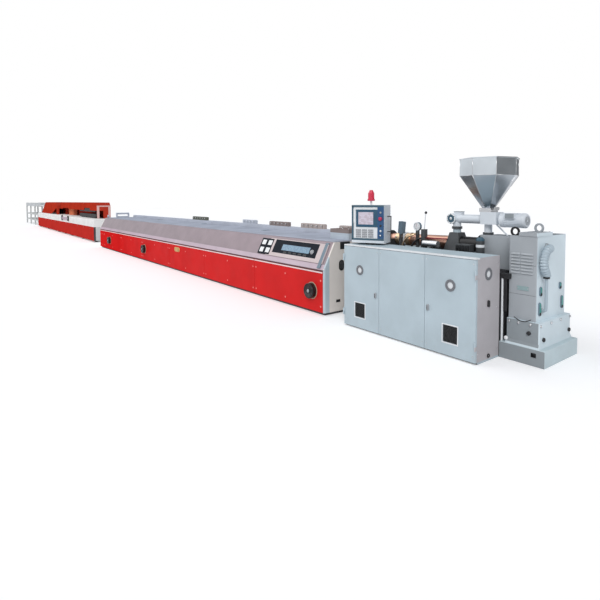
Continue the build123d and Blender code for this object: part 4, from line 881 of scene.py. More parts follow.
class Cabinet(Dresser):
    """The blue-grey side cabinets with their doors."""

    sizes: CabinetSizes = CabinetSizes()

    def build(self) -> None:
        """Dress the cabinet's parts and add its small parts."""
        s = self.sizes
        end = at(0.0)
        handle_end = Zone((end + 0.0008, -0.62, 0.50), (end + 0.05, -0.50, 0.64), Paint.black)
        ring_end = Zone((end + 0.001, -0.63, 0.79), (end + 0.05, -0.49, 0.93), Paint.ring_grey)
        centre_end = Zone((end - 0.0005, -0.5905, 0.828), (end + 0.0005, -0.5225, 0.896), Paint.panel_white)
        foot = Zone((at(-1.76), -0.65, s.height + 0.0005), (at(-1.58), -0.43, 1.07), Paint.rubber)
        # painted shade: the cabinets' end faces get a darker copy of the blue-grey paint
        shaded_end_face = Zone((end - 0.0005, -0.9, 0.02), (end + 0.1, 0.9, 1.1), Paint.shaded_end_grey)
        # painted shadow: a near-black strip along the foot of both cabinets
        plinth = Zone((at(-1.95), -0.9, -0.1), (end - 0.001, 0.9, 0.0182), Paint.dark)
        # painted highlight: a pale strip along the front's top edge
        lip = Zone((at(-1.95), -0.7605, 1.0158), (end + 0.001, -0.70, 1.04), Paint.panel_white)
        self.dress(
            "front_cabinet", Paint.blue_grey, (shaded_end_face, plinth, lip, centre_end, ring_end, handle_end, foot),
        )
        self.dress("rear_cabinet", Paint.blue_grey, (shaded_end_face, plinth))
        self.dress("front_middle_panel", Paint.blue_grey)
        self.dress("switch_plates", Paint.zinc, (
            Zone((at(-1.95), -0.47, 0.0), (at(0.01), -0.3899, 1.1), Paint.key_grey),
        ))
        self.dress("machine_frame", Paint.dark, (
            Zone((at(-1.95), -0.4, 0.862), (at(0.01), 0.4, 1.2), Paint.casting),
        ))
        for side, (low, high) in (("left", s.door_left), ("right", s.door_right)):
            self.door(side, low, high)
        rear_zones = []
        for low, high in (s.door_left, s.door_right):
            rear_zones += self.fitting_zones(low, high, -s.front, 1.0)
        self.dress("rear_panels", Paint.blue_grey, rear_zones)
        self.trims()

    def is_left(self, low: float) -> bool:
        """Whether a door that starts at this station is the left one."""
        return low == self.sizes.door_left[0]

    def vent_centre(self, low: float, high: float) -> float:
        """The x of a door's vent.

        Args:
            low: the door's lowest x as a station.
            high: its highest.

        Returns:
            The vent's x in the frame.
        """
        inset = self.sizes.vent_inset + self.sizes.vent / 2
        edge = low + inset if self.is_left(low) else high - inset
        return at(edge)

    def handle_centre(self, low: float, high: float) -> float:
        """The x of a door's handle in the frame."""
        s = self.sizes
        return at(high - s.handle_inset if self.is_left(low) else low + s.handle_inset)

    def fitting_zones(self, low: float, high: float, face: float, outward: float) -> list[Zone]:
        """Boxes round a door's vent, handle and ring.

        Args:
            low: the door's lowest x as a station in metres.
            high: its highest.
            face: the y of the door's face.
            outward: 1 or -1, the way out.

        Returns:
            The zones.
        """
        s = self.sizes
        vent_x, handle_x = self.vent_centre(low, high), self.handle_centre(low, high)
        half = s.vent / 2 - 0.0005

        def span(near: float, far: float) -> tuple[float, float]:
            """Two distances off the door's face as y, the lower first."""
            return tuple(sorted((face + outward * near, face + outward * far)))

        y_out, y_vent, y_frame = span(0.0008, 0.03), span(-0.012, 0.0035), span(0.001, 0.006)
        y_face = span(-0.0005, 0.0005)
        frame_half = half + 0.0128
        return [
            Zone((vent_x - frame_half, y_frame[0], s.vent_bottom - 0.013),
                 (vent_x + frame_half, y_frame[1], s.vent_bottom + s.vent + 0.013), Paint.panel_white),
            Zone((vent_x - half, y_vent[0], s.vent_bottom + 0.0005),
                 (vent_x + half, y_vent[1], s.vent_bottom + s.vent - 0.0005), Paint.mesh),
            Zone((handle_x - 0.03, y_out[0], s.handle_height - 0.06),
                 (handle_x + 0.03, y_out[1], s.handle_height + 0.06), Paint.key_grey),
            Zone((vent_x - s.ring_inner, y_face[0], s.ring_height - s.ring_inner),
                 (vent_x + s.ring_inner, y_face[1], s.ring_height + s.ring_inner), Paint.panel_white),
            Zone((vent_x - s.ring_reach, y_out[0], s.ring_height - s.ring_reach),
                 (vent_x + s.ring_reach, y_out[1], s.ring_height + s.ring_reach), Paint.ring_grey),
        ]

    def door(self, side: str, low: float, high: float) -> None:
        """Dress one front door and add its grille bars, key lock and screws."""
        s = self.sizes
        self.dress(f"{side}_door", Paint.blue_grey, self.fitting_zones(low, high, s.front, -1.0))
        piece = self.piece(f"{side}_door_fittings")
        vent_x, handle_x = self.vent_centre(low, high), self.handle_centre(low, high)
        half = s.vent / 2
        for index in range(1, 12):
            z = s.vent_bottom + s.vent * index / 12
            piece.box(
                (vent_x - half, s.front + 0.001, z - 0.0016), (vent_x + half, s.front + 0.004, z + 0.0016),
                Paint.black, 0.0004,
            )
        for index in range(1, 9):
            x = vent_x - half + s.vent * index / 9
            piece.box(
                (x - 0.0012, s.front + 0.003, s.vent_bottom),
                (x + 0.0012, s.front + 0.006, s.vent_bottom + s.vent), Paint.black, 0.0004,
            )
        piece.box(
            (handle_x - 0.004, s.front - 0.0235, s.handle_height - 0.024),
            (handle_x + 0.004, s.front - 0.0215, s.handle_height + 0.024), Paint.black, 0.001,
        )
        for x in (low + 0.03, high - 0.03):
            for z in (0.08, s.height - 0.06):
                piece.screw((at(x), s.front + 0.0002, z), NEAR)
        piece.place(f"{side}_door", "blue_grey_enamel")

    def trims(self) -> None:
        """Add the gland's ring low on the end face, and the screws of the middle panel and end."""
        s = self.sizes
        piece = self.piece("cabinet_fittings")
        piece.ring((at(0.0), s.gland[1], s.gland[2] + 0.012), TO_END, 0.021, 0.012, 0.01, Paint.black_steel)
        for x in (-1.27, -0.648):
            for z in (0.08, s.height - 0.06):
                piece.screw((at(x), s.front + 0.0002, z), NEAR)
        for y in (-0.73, -0.39):
            for z in (0.10, 0.52, 0.96):
                piece.screw((at(0.0), y, z), TO_END)
        piece.place("line_frame", "blue_grey_enamel")


@dataclass
class BarrelSizes:
    """The barrel's sizes, in metres."""

    height: float = 1.078
    band_start: float = -1.440
    band_pitch: float = 0.086
    band_width: float = 0.068
    band_count: int = 3
    band_radius: float = 0.0865


class Barrel(Dresser):
    """The barrel, die and the fittings in the trough."""

    sizes: BarrelSizes = BarrelSizes()

    def build(self) -> None:
        """Dress the barrel's parts and add its small parts."""
        s = self.sizes
        zones = []
        for index in range(s.band_count):
            high = at(s.band_start - index * s.band_pitch)
            zones.append(Zone(
                (high - s.band_width - 0.0004, -0.2, 0.9), (high + 0.0004, 0.2, 1.3),
                Paint.panel_white if index == 1 else Paint.bronze,
            ))
        zones.append(Zone((at(-0.7), -0.2, 0.9), (at(-0.32), 0.2, 1.3), Paint.black_steel))
        self.dress("barrel", Paint.copper, zones)
        self.dress("die_head", Paint.tool)
        self.dress("feed_housing", Paint.casting)
        self.fittings()
        self.trough()

    def fittings(self) -> None:
        """Dress the standing fittings: blower, gauge, valve, tube, pump and cooler."""
        self.dress("trough_fittings", Paint.casting, (
            Zone((at(-1.57), -0.3, 1.15), (at(-1.46), 0.0, 1.4), Paint.slate),
            Zone((at(-1.31), -0.2, 1.20), (at(-1.195), -0.05, 1.35), Paint.slate),
            Zone((at(-1.16), -0.15, 1.2285), (at(-1.1), -0.1, 1.5), Paint.panel_white),
            Zone((at(-1.1), -0.3, 1.02), (at(-0.87), -0.15, 1.2), Paint.steel),
            Zone((at(-0.37), -0.3, 1.145), (at(-0.26), -0.15, 1.2), Paint.frame_blue),
            Zone((at(-0.37), -0.3, 1.075), (at(-0.26), -0.15, 1.105), Paint.panel_white),
        ))

    def trough(self) -> None:
        """Add the dial, ball, clamp bands, short pipes and cooler fins."""
        s = self.sizes
        piece = self.piece("trough_details")
        dial = (at(-1.253), -0.1472, 1.258)
        piece.ring(dial, NEAR, 0.0515, 0.043, 0.006, Paint.panel_white)
        piece.disc(dial, NEAR, 0.042, 0.0015, Paint.key_white)
        for step in range(9):
            angle = math.radians(220 - step * 32.5)
            mark = Matrix.Translation(
                (dial[0] + 0.034 * math.cos(angle), dial[1] - 0.002, dial[2] + 0.034 * math.sin(angle))
            )
            piece.box(
                (-0.0045, -0.0005, -0.0009), (0.0045, 0.0005, 0.0009), Paint.black, 0.0002,
                mark @ Matrix.Rotation(-angle, 4, "Y"),
            )
        piece.box(
            (dial[0] - 0.0012, dial[1] - 0.0032, dial[2]),
            (dial[0] + 0.0012, dial[1] - 0.002, dial[2] + 0.032), Paint.mushroom, 0.0003,
        )
        ball = [
            (-0.017 * math.cos(math.pi * i / 12) + 0.0, 0.017 * math.sin(math.pi * i / 12)) for i in range(13)
        ]
        piece.turned(ball, (at(-1.126), -0.130, 1.431), UP, Paint.black)
        for index in range(s.band_count):
            high = at(s.band_start - index * s.band_pitch)
            middle = high - s.band_width / 2
            piece.box(
                (middle - 0.012, -s.band_radius - 0.022, s.height + 0.012),
                (middle + 0.012, -s.band_radius + 0.01, s.height + 0.034), Paint.steel,
            )
            piece.disc(
                (middle, -s.band_radius - 0.022, s.height + 0.023), NEAR, 0.006, 0.006, Paint.black_steel, 12,
            )
            piece.box(
                (middle - 0.02, -0.03, s.height + s.band_radius - 0.012),
                (middle + 0.02, 0.03, s.height + s.band_radius + 0.002), Paint.key_white, 0.003,
            )
        piece.tube([
            (at(-1.45), -0.205, 0.93), (at(-1.428), -0.205, 1.03), (at(-1.366), -0.205, 1.115),
            (at(-1.29), -0.19, 1.15), (at(-1.27), -0.15, 1.17),
        ], 0.011, Paint.bronze)
        piece.tube([
            (at(-1.313), -0.19, 0.93), (at(-1.288), -0.19, 1.03), (at(-1.228), -0.17, 1.10),
            (at(-1.178), -0.14, 1.12),
        ], 0.011, Paint.black)
        piece.tube(
            [(at(-1.122), -0.125, 1.125), (at(-1.0), -0.13, 1.123), (at(-0.84), -0.09, 1.125)], 0.009,
            Paint.dark_red,
        )
        for index in range(9):
            x = at(-0.59) + index * 0.02
            piece.box((x - 0.003, -0.2655, 0.88), (x + 0.003, -0.2568, 1.085), Paint.black_steel, 0.0008)
        piece.ring((at(-1.086), -0.215, 1.068), DOWN_LINE, 0.0375, 0.028, 0.004, Paint.black_steel)
        for y in (-0.08, 0.08):
            for z in (-0.045, 0.045):
                piece.disc((at(-1.8338), y, s.height + z), DOWN_LINE, 0.012, 0.01, Paint.steel, 12)
        piece.place("line_frame", "dark_grey_casting")


@dataclass
class FeederSizes:
    """The hopper's and feeder's sizes, in metres."""

    hopper_x: float = -0.355
    radius: float = 0.316
    shoulder: float = 1.845
    top: float = 2.033
    mouth: float = 1.494
    mouth_radius: float = 0.066
    screw_height: float = 1.366
    motor_start: float = -0.147
    motor_radius: float = 0.072
    motor_length: float = 0.243
    cowl: float = 0.056


class Feeder(Dresser):
    """The stainless hopper, the screw feeder and its motor."""

    sizes: FeederSizes = FeederSizes()

    def build(self) -> None:
        """Dress the feeder's parts and add its small parts."""
        s = self.sizes
        self.dress("hopper", Paint.stainless, (
            # painted reflection: the cone below the shoulder gets the darker stainless
            Zone((at(-0.9), -0.6, s.mouth - 0.1), (at(0.3), 0.6, s.shoulder - 0.0005), Paint.shaded_cone),
        ))
        self.dress("slide_gate", Paint.steel)
        self.dress("hopper_throat", Paint.pale_grey, (
            Zone((at(-0.44), -0.1, 1.4502), (at(-0.2), 0.1, 1.5), Paint.steel),
            Zone((at(-0.45), -0.1, 1.19), (at(-0.29), 0.1, 1.2245), Paint.casting),
        ))
        self.dress("screw_feeder", Paint.pale_grey, (
            Zone((at(-0.87), -0.08, 1.29), (at(-0.73), -0.0742, 1.44), Paint.frame_blue),
            Zone((at(-0.83), -0.1, 1.2459), (at(-0.7), 0.1, 1.2751), Paint.casting),
            Zone((at(-0.83), -0.1, 1.2), (at(-0.7), 0.1, 1.2459), Paint.blue_grey),
        ))
        self.dress("feeder_motor", Paint.pale_grey)
        self.hopper_details()
        self.motor_details()

    def hopper_details(self) -> None:
        """Add the weld seams down each corner and the bolts round the throat."""
        s = self.sizes
        piece = self.piece("hopper_seams")
        for index in range(8):
            angle = math.radians(45 * index)
            out = Vector((math.cos(angle), math.sin(angle), 0))
            corner = [
                Vector((at(s.hopper_x), 0, s.mouth)) + out * s.mouth_radius,
                Vector((at(s.hopper_x), 0, s.shoulder)) + out * s.radius,
                Vector((at(s.hopper_x), 0, s.top - 0.009)) + out * s.radius,
            ]
            for start, stop in zip(corner, corner[1:]):
                piece.tube([tuple(start), tuple(stop)], 0.0022, Paint.steel, 8)
        for index in range(8):
            a, b = math.radians(45 * index), math.radians(45 * (index + 1))
            ends = [
                (at(s.hopper_x) + s.radius * math.cos(t), s.radius * math.sin(t), s.shoulder) for t in (a, b)
            ]
            piece.tube(ends, 0.0022, Paint.steel, 8)
        for x in (-0.407, -0.303):
            piece.disc((at(x), -0.0722, 1.472), NEAR, 0.007, 0.005, Paint.steel, 12)
        cross = (at(-0.8), -0.0748, s.screw_height)
        piece.ring(cross, NEAR, 0.0615, 0.047, 0.004, Paint.key_white)
        piece.disc(cross, NEAR, 0.018, 0.006, Paint.steel, 20)
        for index in range(6):
            angle = math.radians(60 * index + 30)
            across, along = math.cos(angle), math.sin(angle)
            neck_bolt = (at(s.hopper_x) + 0.05 * across, 0.05 * along, 1.224)
            cross_bolt = (cross[0] + 0.054 * across, -0.0786, cross[2] + 0.054 * along)
            piece.disc(neck_bolt, UP, 0.005, 0.005, Paint.steel, 12)
            piece.disc(cross_bolt, NEAR, 0.005, 0.003, Paint.black_steel, 10)
        piece.box((at(-0.794), -0.034, 1.4445), (at(-0.686), 0.034, 1.451), Paint.machine_grey, 0.002)
        piece.place("line_frame", "stainless_sheet")

    def motor_details(self) -> None:
        """Add the motor's cooling fins, the fan cowl's slots and the terminal box lid."""
        s = self.sizes
        piece = self.piece("motor_fins")
        start = at(s.motor_start)
        stop = start + s.motor_length - s.cowl
        for index in range(28):
            angle = 2 * math.pi * index / 28
            if 10 < math.degrees(angle) < 64:
                continue
            turn = (
                Matrix.Translation((0, 0, s.screw_height)) @ Matrix.Rotation(-(angle - math.pi / 2), 4, "X")
            )
            piece.box(
                (start + 0.012, -0.0014, s.motor_radius - 0.002),
                (stop - 0.004, 0.0014, s.motor_radius + 0.0045), Paint.pale_grey, 0.0005, turn,
            )
        for radius in (0.016, 0.028, 0.04):
            piece.ring((at(0.096), 0, s.screw_height), TO_END, radius + 0.003, radius, 0.0015, Paint.black)
        middle = (start + stop) / 2
        piece.box(
            (middle - 0.049, -0.0975, 1.390), (middle + 0.049, -0.0935, 1.440), Paint.machine_grey, 0.002,
        )
        piece.place("line_frame", "pale_grey_enamel")


@dataclass
class TowerSizes:
    """The gear tower's sizes, in metres."""

    start: float = 0.070
    face: float = 0.355
    foot_face: float = 0.405
    width: float = 0.600
    foot_width: float = 0.660
    base_width: float = 0.704
    base_height: float = 0.165
    pipe_x: float = 0.405
    pipe_y: float = -0.205
    glasses: tuple[Point, ...] = (
        (-0.225, 0.701, 0.09), (-0.238, 0.530, 0.13), (0.181, 0.713, 0.07), (0.224, 0.540, 0.13),
    )


class GearTower(Dresser):
    """The gear tower, its pipes and its base."""

    sizes: TowerSizes = TowerSizes()

    def build(self) -> None:
        """Dress the tower's parts and add its pipes and bolts."""
        s = self.sizes
        face = at(s.face)
        self.dress("drive_box", Paint.tower_side, (
            Zone((at(-0.33), -0.3, 0.3), (at(0.075), 0.3, 0.62), Paint.casting),
        ))
        # painted light and shade: the tower's end face gets a lighter copy of its paint than its sides
        self.dress("gear_tower", Paint.tower_side, (
            Zone((face - 0.0005, -0.4, 0.3), (face + 0.05, 0.4, 1.4), Paint.tower_end),
            Zone((at(0.155), -0.31, 0.69), (at(0.283), -0.3003, 0.75), Paint.bare_plate),
            Zone((at(0.05), -0.29, 1.2325), (at(0.165), -0.24, 1.4), Paint.black_steel),
            Zone((at(0.06), -0.31, 1.2318), (at(0.36), 0.31, 1.2322), Paint.machine_grey),
        ))
        front = -s.base_width / 2
        # painted light and shade: the foot keeps the light copy on its top and end faces, a darker copy on
        # its sides and dark grey on its front faces
        self.dress("tower_foot", Paint.tower_end, (
            Zone(
                (at(0.0), front - 0.01, -0.1), (at(0.48), front + 0.0005, s.base_height - 0.001),
                Paint.machine_grey,
            ),
            Zone(
                (at(0.005), -0.4, s.base_height - 0.001), (at(0.48), 0.4, s.base_height + 0.001),
                Paint.tower_end,
            ),
            Zone((at(0.0), front + 0.0005, -0.1), (at(0.48), 0.4, s.base_height + 0.0005), Paint.base_light),
            Zone((at(0.06), -0.34, s.base_height), (at(0.404), -0.3295, 0.5), Paint.machine_grey),
            Zone(
                (at(s.foot_face) - 0.0005, -0.4, s.base_height + 0.06), (at(0.42), 0.4, 0.5), Paint.tower_end,
            ),
            Zone((at(0.3365), front + 0.0005, 0.0825), (at(0.3895), front + 0.031, 0.1275), Paint.black),
        ))
        self.pipework()
        self.bolts()

    def pipework(self) -> None:
        """Build the ribbed pipe, the oil pipe, sight glasses and conduits anew."""
        s = self.sizes
        piece = self.piece("tower_pipework")
        face, x, y = at(s.face), at(s.pipe_x), s.pipe_y
        piece.tube([
            (face + 0.004, -0.120, 1.115), (face + 0.026, -0.122, 1.115), (x, -0.150, 1.113),
            (x, -0.200, 1.100), (x, -0.240, 1.062), (x, -0.260, 1.005), (x, -0.256, 0.945),
            (x, -0.228, 0.898), (x, -0.208, 0.868), (x, y, 0.850),
        ], 0.032, Paint.pipe_grey, 20, 0.008)
        piece.turned(
            [(0, 0.047), (0.018, 0.047), (0.022, 0.042), (0.03, 0.042), (0.03, 0.0)],
            (face, -0.120, 1.115), TO_END, Paint.steel, 6,
        )
        piece.tube([
            (x, y, 0.86), (x, y, 0.7), (x, y, 0.545), (x - 0.012, y, 0.517), (face + 0.002, y, 0.512),
        ], 0.0145, Paint.pipe_grey)
        piece.turned(
            [(0, 0.033), (0.02, 0.033), (0.026, 0.024), (0.026, 0.0)], (x, y, 0.830), UP, Paint.black_steel,
            6,
        )
        piece.ring((face, y, 0.512), TO_END, 0.025, 0.015, 0.012, Paint.steel)
        for glass_y, z, height in s.glasses:
            piece.upright_slot(face, glass_y, z, (height, 0.040), 0.0125, Paint.slate)
            piece.upright_slot(face + 0.012, glass_y, z, (height - 0.010, 0.031), 0.002, Paint.green_glass)
            piece.disc(
                (face + 0.012, glass_y, z - height / 2 + 0.018), TO_END, 0.0165, 0.004, Paint.black_steel, 20,
            )
        piece.box((at(0.012), -0.348, 0.8), (at(0.1), -0.3005, 0.852), Paint.black, 0.004)
        piece.box((at(0.012), -0.339, s.base_height), (at(0.03), -0.321, 0.8005), Paint.panel_white, 0.004)
        piece.box((at(0.039), -0.339, 0.47), (at(0.066), -0.321, 0.8005), Paint.black, 0.003)
        made = piece.place("line_frame", "light_grey_enamel")
        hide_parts("tower_pipes")

    def bolts(self) -> None:
        """Add flange bolts, gasket lines and cover screws."""
        s = self.sizes
        piece = self.piece("tower_bolts")
        half = s.foot_width / 2
        bolt = [(0, 0.013), (0.012, 0.013), (0.014, 0.010), (0.014, 0)]
        knob = [(0, 0.020), (0.014, 0.020), (0.018, 0.014), (0.018, 0)]
        for x, y, z, direction, finish in (
            (0.305, -half, 0.302, NEAR, Paint.black), (0.071, -half, 0.208, NEAR, Paint.key_white),
            (s.foot_face, -0.249, 0.245, TO_END, Paint.black),
            (s.foot_face, 0.289, 0.250, TO_END, Paint.black),
        ):
            piece.turned(knob, (at(x), y, z), direction, finish, 16)
        for y in (-0.31, -0.1, 0.1, 0.31):
            piece.turned(bolt, (at(s.foot_face) - 0.001, y, 0.385), TO_END, Paint.steel, 6)
        for x in (0.1, 0.2, 0.32):
            piece.turned(bolt, (at(x), -half + 0.001, 0.385), NEAR, Paint.steel, 6)
        for z in (0.95, 0.66):
            piece.box(
                (at(s.start) + 0.006, -s.width / 2 - 0.0008, z - 0.0012),
                (at(s.face) - 0.006, -s.width / 2 + 0.001, z + 0.0012), Paint.gasket, 0.0003,
            )
        for x in (0.166, 0.272):
            piece.disc((at(x), -0.304, 0.722), NEAR, 0.005, 0.002, Paint.steel, 12)
        for y in (-0.285, -0.15, -0.02):
            piece.disc((at(s.face) - 0.02, y, 1.2662), UP, 0.007, 0.004, Paint.steel, 12)
        arc = [
            (at(0.150 + 0.172 * t), -half - 0.002, 0.405 + 0.03 * (2 * t - 1) ** 2)
            for t in (i / 10 for i in range(11))
        ]
        piece.tube(arc, 0.004, Paint.black)
        piece.place("line_frame", "machine_grey_enamel")


@dataclass
class ControlSizes:
    """The control box's sizes and place, in metres."""

    centre: Point = (-1.682, -0.516, 1.0555)
    turn: float = 24.0
    width: float = 0.430
    height: float = 0.468
    depth: float = 0.235


class ControlBox(Dresser):
    """The turning control box with its face and beacon."""

    sizes: ControlSizes = ControlSizes()

    def build(self) -> None:
        """Dress the control box and its beacon, and add the details of its face."""
        s = self.sizes
        grip_low = (at(s.centre[0]) + 0.200, s.centre[1] + 0.078, s.centre[2] + 0.13)
        grip_high = (at(s.centre[0]) + 0.257, s.centre[1] + 0.122, s.centre[2] + 0.34)
        self.dress("control_box", Paint.pale_grey, (Zone(grip_low, grip_high, Paint.black),))
        self.dress("control_face", Paint.panel_white)
        top = s.centre[2] + s.height
        self.dress("beacon", Paint.lens_red, (
            Zone((at(-1.8), -0.8, top - 0.1), (at(-1.5), -0.3, top + 0.05), Paint.panel_white),
            Zone((at(-1.8), -0.8, top + 0.05), (at(-1.5), -0.3, top + 0.0605), Paint.mushroom),
        ))
        self.face()

    def face(self) -> None:
        """Add the dark frame, the screen, key groups, side column with knobs, and side plate."""
        s = self.sizes
        place = Matrix.Translation((at(s.centre[0]), s.centre[1], s.centre[2])) @ Matrix.Rotation(
            math.radians(s.turn), 4, "Z"
        )
        piece = self.piece("control_details")
        front = -s.depth / 2
        half = s.width / 2
        low, high = 0.036, s.height

        def bar(
            x: tuple[float, float], z: tuple[float, float], finish: Finish, out: float = 0.0,
            back: float = 0.012, bevel: float = 0.002,
        ) -> None:
            """Add a plate on the box's front, by its span in x and z."""
            piece.box((x[0], front - out, z[0]), (x[1], front + back, z[1]), finish, bevel, place)

        left, right = -half + 0.0015, half - 0.0015
        bar((left, left + 0.024), (low, high - 0.002), Paint.frame_blue, 0.002)
        bar((left, right), (high - 0.026, high - 0.0015), Paint.frame_blue, 0.002)
        bar((left, right), (low - 0.004, low + 0.020), Paint.frame_blue, 0.002)
        bar((right - 0.084, right), (low, high - 0.024), Paint.column_blue, 0.0015)
        bar((-0.155, right - 0.080), (high - 0.272, high - 0.056), Paint.teal, 0.001, 0.0055, 0.001)
        bar((-0.123, 0.075), (high - 0.240, high - 0.088), Paint.lilac_screen, 0.002, 0.004, 0.0008)
        for row in range(4):
            z = high - 0.300 - row * 0.027
            for column in range(9):
                x = -0.157 + column * 0.0238 + (column // 3) * 0.011
                bar((x, x + 0.0195), (z - 0.020, z), Paint.key_grey, 0.0015, 0.0065, 0.0015)
        column = right - 0.042
        mushroom = [
            (0, 0.021), (0.006, 0.021), (0.006, 0.014), (0.012, 0.014), (0.02, 0.024), (0.024, 0.02),
            (0.026, 0),
        ]
        button = [(0, 0.013), (0.005, 0.013), (0.007, 0.010), (0.012, 0.009), (0.012, 0)]
        outward = place.to_3x3() @ Vector(NEAR)
        piece.turned(mushroom, place @ Vector((column, front, 0.30)), outward, Paint.mushroom, 24)
        for z, finish in (
            (0.375, Paint.key_grey), (0.215, Paint.black), (0.150, Paint.key_white), (0.095, Paint.steel),
        ):
            piece.turned(button, place @ Vector((column, front, z)), outward, finish, 20)
        piece.box((half - 0.001, -0.05, 0.12), (half + 0.0015, 0.05, 0.35), Paint.pale_grey, 0.0006, place)
        piece.place("control_head", "panel_white")


@dataclass
class TableSizes:
    """The calibration table's sizes, in metres."""

    start: float = -2.400
    end: float = -14.830
    half_width: float = 0.702
    deck_half: float = 0.515
    trim_top: float = 0.630
    deck: float = 1.012
    duct_top: float = 1.080
    seams: tuple[float, ...] = (-4.286, -6.276, -8.266, -10.256, -12.246, -14.236)
    portholes: tuple[float, ...] = (-2.680, -10.060, -13.540)
    porthole_rise: float = 0.072
    oval_place: tuple[float, float] = (-7.751, 0.488)
    oval_size: tuple[float, float] = (0.300, 0.100)
    end_cover_place: tuple[float, float] = (-0.396, 0.677)
    clamps: tuple[tuple[float, float], ...] = (
        (-3.275, 0.27), (-4.175, 0.69), (-5.290, 0.68), (-6.490, 0.54), (-9.125, 0.87),
    )


class CalibrationTable(Dresser):
    """The long red calibration table."""

    sizes: TableSizes = TableSizes()

    def build(self) -> None:
        """Dress the table's parts and add its trims, keys and screws."""
        s = self.sizes
        self.dress("table_plinth", Paint.dark)
        self.dress("table_housing", Paint.shoulder, (
            Zone((at(-14.9), -0.703, 0.6306), (at(-2.3), -0.6, 0.700), Paint.mauve_strip),
            Zone((at(-14.9), 0.3845, 1.0005), (at(-2.3), 0.516, 1.081), Paint.duct),
            Zone((at(-14.9), -0.7, 0.0), (at(-2.3), -0.68, 0.6125), Paint.trim_brown),
            Zone((at(-14.9), -0.7025, 0.60), (at(-2.3), -0.7, 0.6305), Paint.trim_brown),
        ))
        self.dress("table_end_plates", Paint.warm_grey, (
            Zone((at(-2.431), -0.703, 0.0), (at(-2.399), -0.612, 1.001), Paint.blue_grey),
            Zone((at(-2.4125), -0.4926, 0.1629), (at(-2.4005), -0.4174, 0.2031), Paint.black),
            Zone((at(-2.431), -0.42, 0.90), (at(-2.399), -0.235, 1.001), Paint.black),
        ))
        self.dress("table_front_panels", Paint.red)
        self.dress("table_rear_panels", Paint.red)
        self.dress("table_covers", Paint.black_steel)
        self.covers()
        self.dress("table_deck_plates", Paint.deck)
        self.dress("table_console", Paint.console_frame)
        self.dress("calibrator", Paint.calibrator_grey, (
            Zone((at(-3.0), -0.3, 1.105), (at(-2.4), 0.3, 1.2), Paint.brown_grey),
        ))
        self.dress("table_edge_blocks", Paint.brown_grey, (
            Zone((at(-9.6), 0.4, 1.0), (at(-8.6), 0.5, 1.2), Paint.olive),
            Zone((at(-6.8), 0.4, 1.0), (at(-6.2), 0.5, 1.2), Paint.duct),
            Zone((at(-4.6), 0.4, 1.0), (at(-3.1), 0.5, 1.2), Paint.tan),
        ))
        self.dress("exit_rollers", Paint.duct)
        self.side_details()
        self.console()
        self.deck_details()

    def slope(self, share: float, out: float = 0.0) -> tuple[float, float]:
        """A point on the near shoulder.

        Args:
            share: how far up the slope, from 0 to 1.
            out: how far off its surface.

        Returns:
            Its y and z.
        """
        s = self.sizes
        y = -s.half_width + (s.half_width - s.deck_half) * share
        z = s.trim_top + (1.0 - s.trim_top) * share
        run = math.hypot(s.half_width - s.deck_half, 1.0 - s.trim_top)
        return y - out * (1.0 - s.trim_top) / run, z + out * (s.half_width - s.deck_half) / run

    def covers(self) -> None:
        """Build the round covers, the oval plate and the end cover with their turned edges."""
        s = self.sizes
        piece = self.piece("table_covers_turned")
        near, height, rise = -s.half_width, 0.320, s.porthole_rise
        cover = [
            (0.0, 0.107), (rise - 0.006, 0.107), (rise, 0.101), (rise, 0.092),
            (rise - 0.003, 0.089), (rise - 0.008, 0.089), (rise - 0.008, 0.0),
        ]
        boss = [(0.0, 0.024), (0.010, 0.024), (0.014, 0.019), (0.014, 0.0)]
        for station in s.portholes:
            x = at(station)
            piece.turned(cover, (x, near, height), NEAR, Paint.black_steel, 40)
            piece.ring((x, near, height), NEAR, 0.121, 0.1065, 0.005, Paint.khaki_ring)
            piece.turned(boss, (x, near - rise + 0.008, height), NEAR, Paint.key_grey, 24)
            for index in range(6):
                angle = math.radians(60 * index + 15)
                bolt = (x + 0.068 * math.cos(angle), near - rise + 0.008, height + 0.068 * math.sin(angle))
                piece.disc(bolt, NEAR, 0.006, 0.004, Paint.gasket, 12)
        x, z = s.oval_place
        length, width = s.oval_size
        reach = (length - width) / 2
        piece.box(
            (at(x) - reach, near - 0.008, z - width / 2), (at(x) + reach, near, z + width / 2), Paint.gold,
            0.001,
        )
        for end in (-reach, reach):
            piece.disc((at(x) + end, near, z), NEAR, width / 2, 0.008, Paint.gold)
        y, z = s.end_cover_place
        piece.upright_slot(at(s.start), y, z, (0.150, 0.092), 0.006, Paint.black_steel)
        piece.upright_slot(at(s.start) + 0.006, y, z, (0.120, 0.062), 0.003, Paint.gasket)
        made = piece.place("line_frame", "red_enamel")
        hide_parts("table_covers")

    def side_details(self) -> None:
        """Add the light trim along the panels' top and the panel screws."""
        s = self.sizes
        piece = self.piece("table_side_details")
        near = -s.half_width
        edges = [s.start - 0.03, *s.seams, s.end + 0.03]
        for high, low in zip(edges, edges[1:]):
            piece.box(
                (at(low) + 0.004, near - 0.0045, 0.584), (at(high) - 0.012, near + 0.002, 0.603),
                Paint.trim_light, 0.002,
            )
            for x in (high - 0.05, (high + low) / 2, low + 0.05):
                for z in (0.12, 0.48):
                    piece.disc((at(x), near, z), NEAR, 0.014, 0.0035, Paint.rivet, 14)
        piece.box(
            (at(-2.43), near + 0.0005, 0.634), (at(-2.401), near + 0.004, 0.65), Paint.trim_light, 0.001,
        )
        piece.place("line_frame", "red_enamel")

    def console(self) -> None:
        """Add the console's key plates, keys, display, end strip and knob."""
        s = self.sizes
        piece = self.piece("console_details")
        rise = 0.014

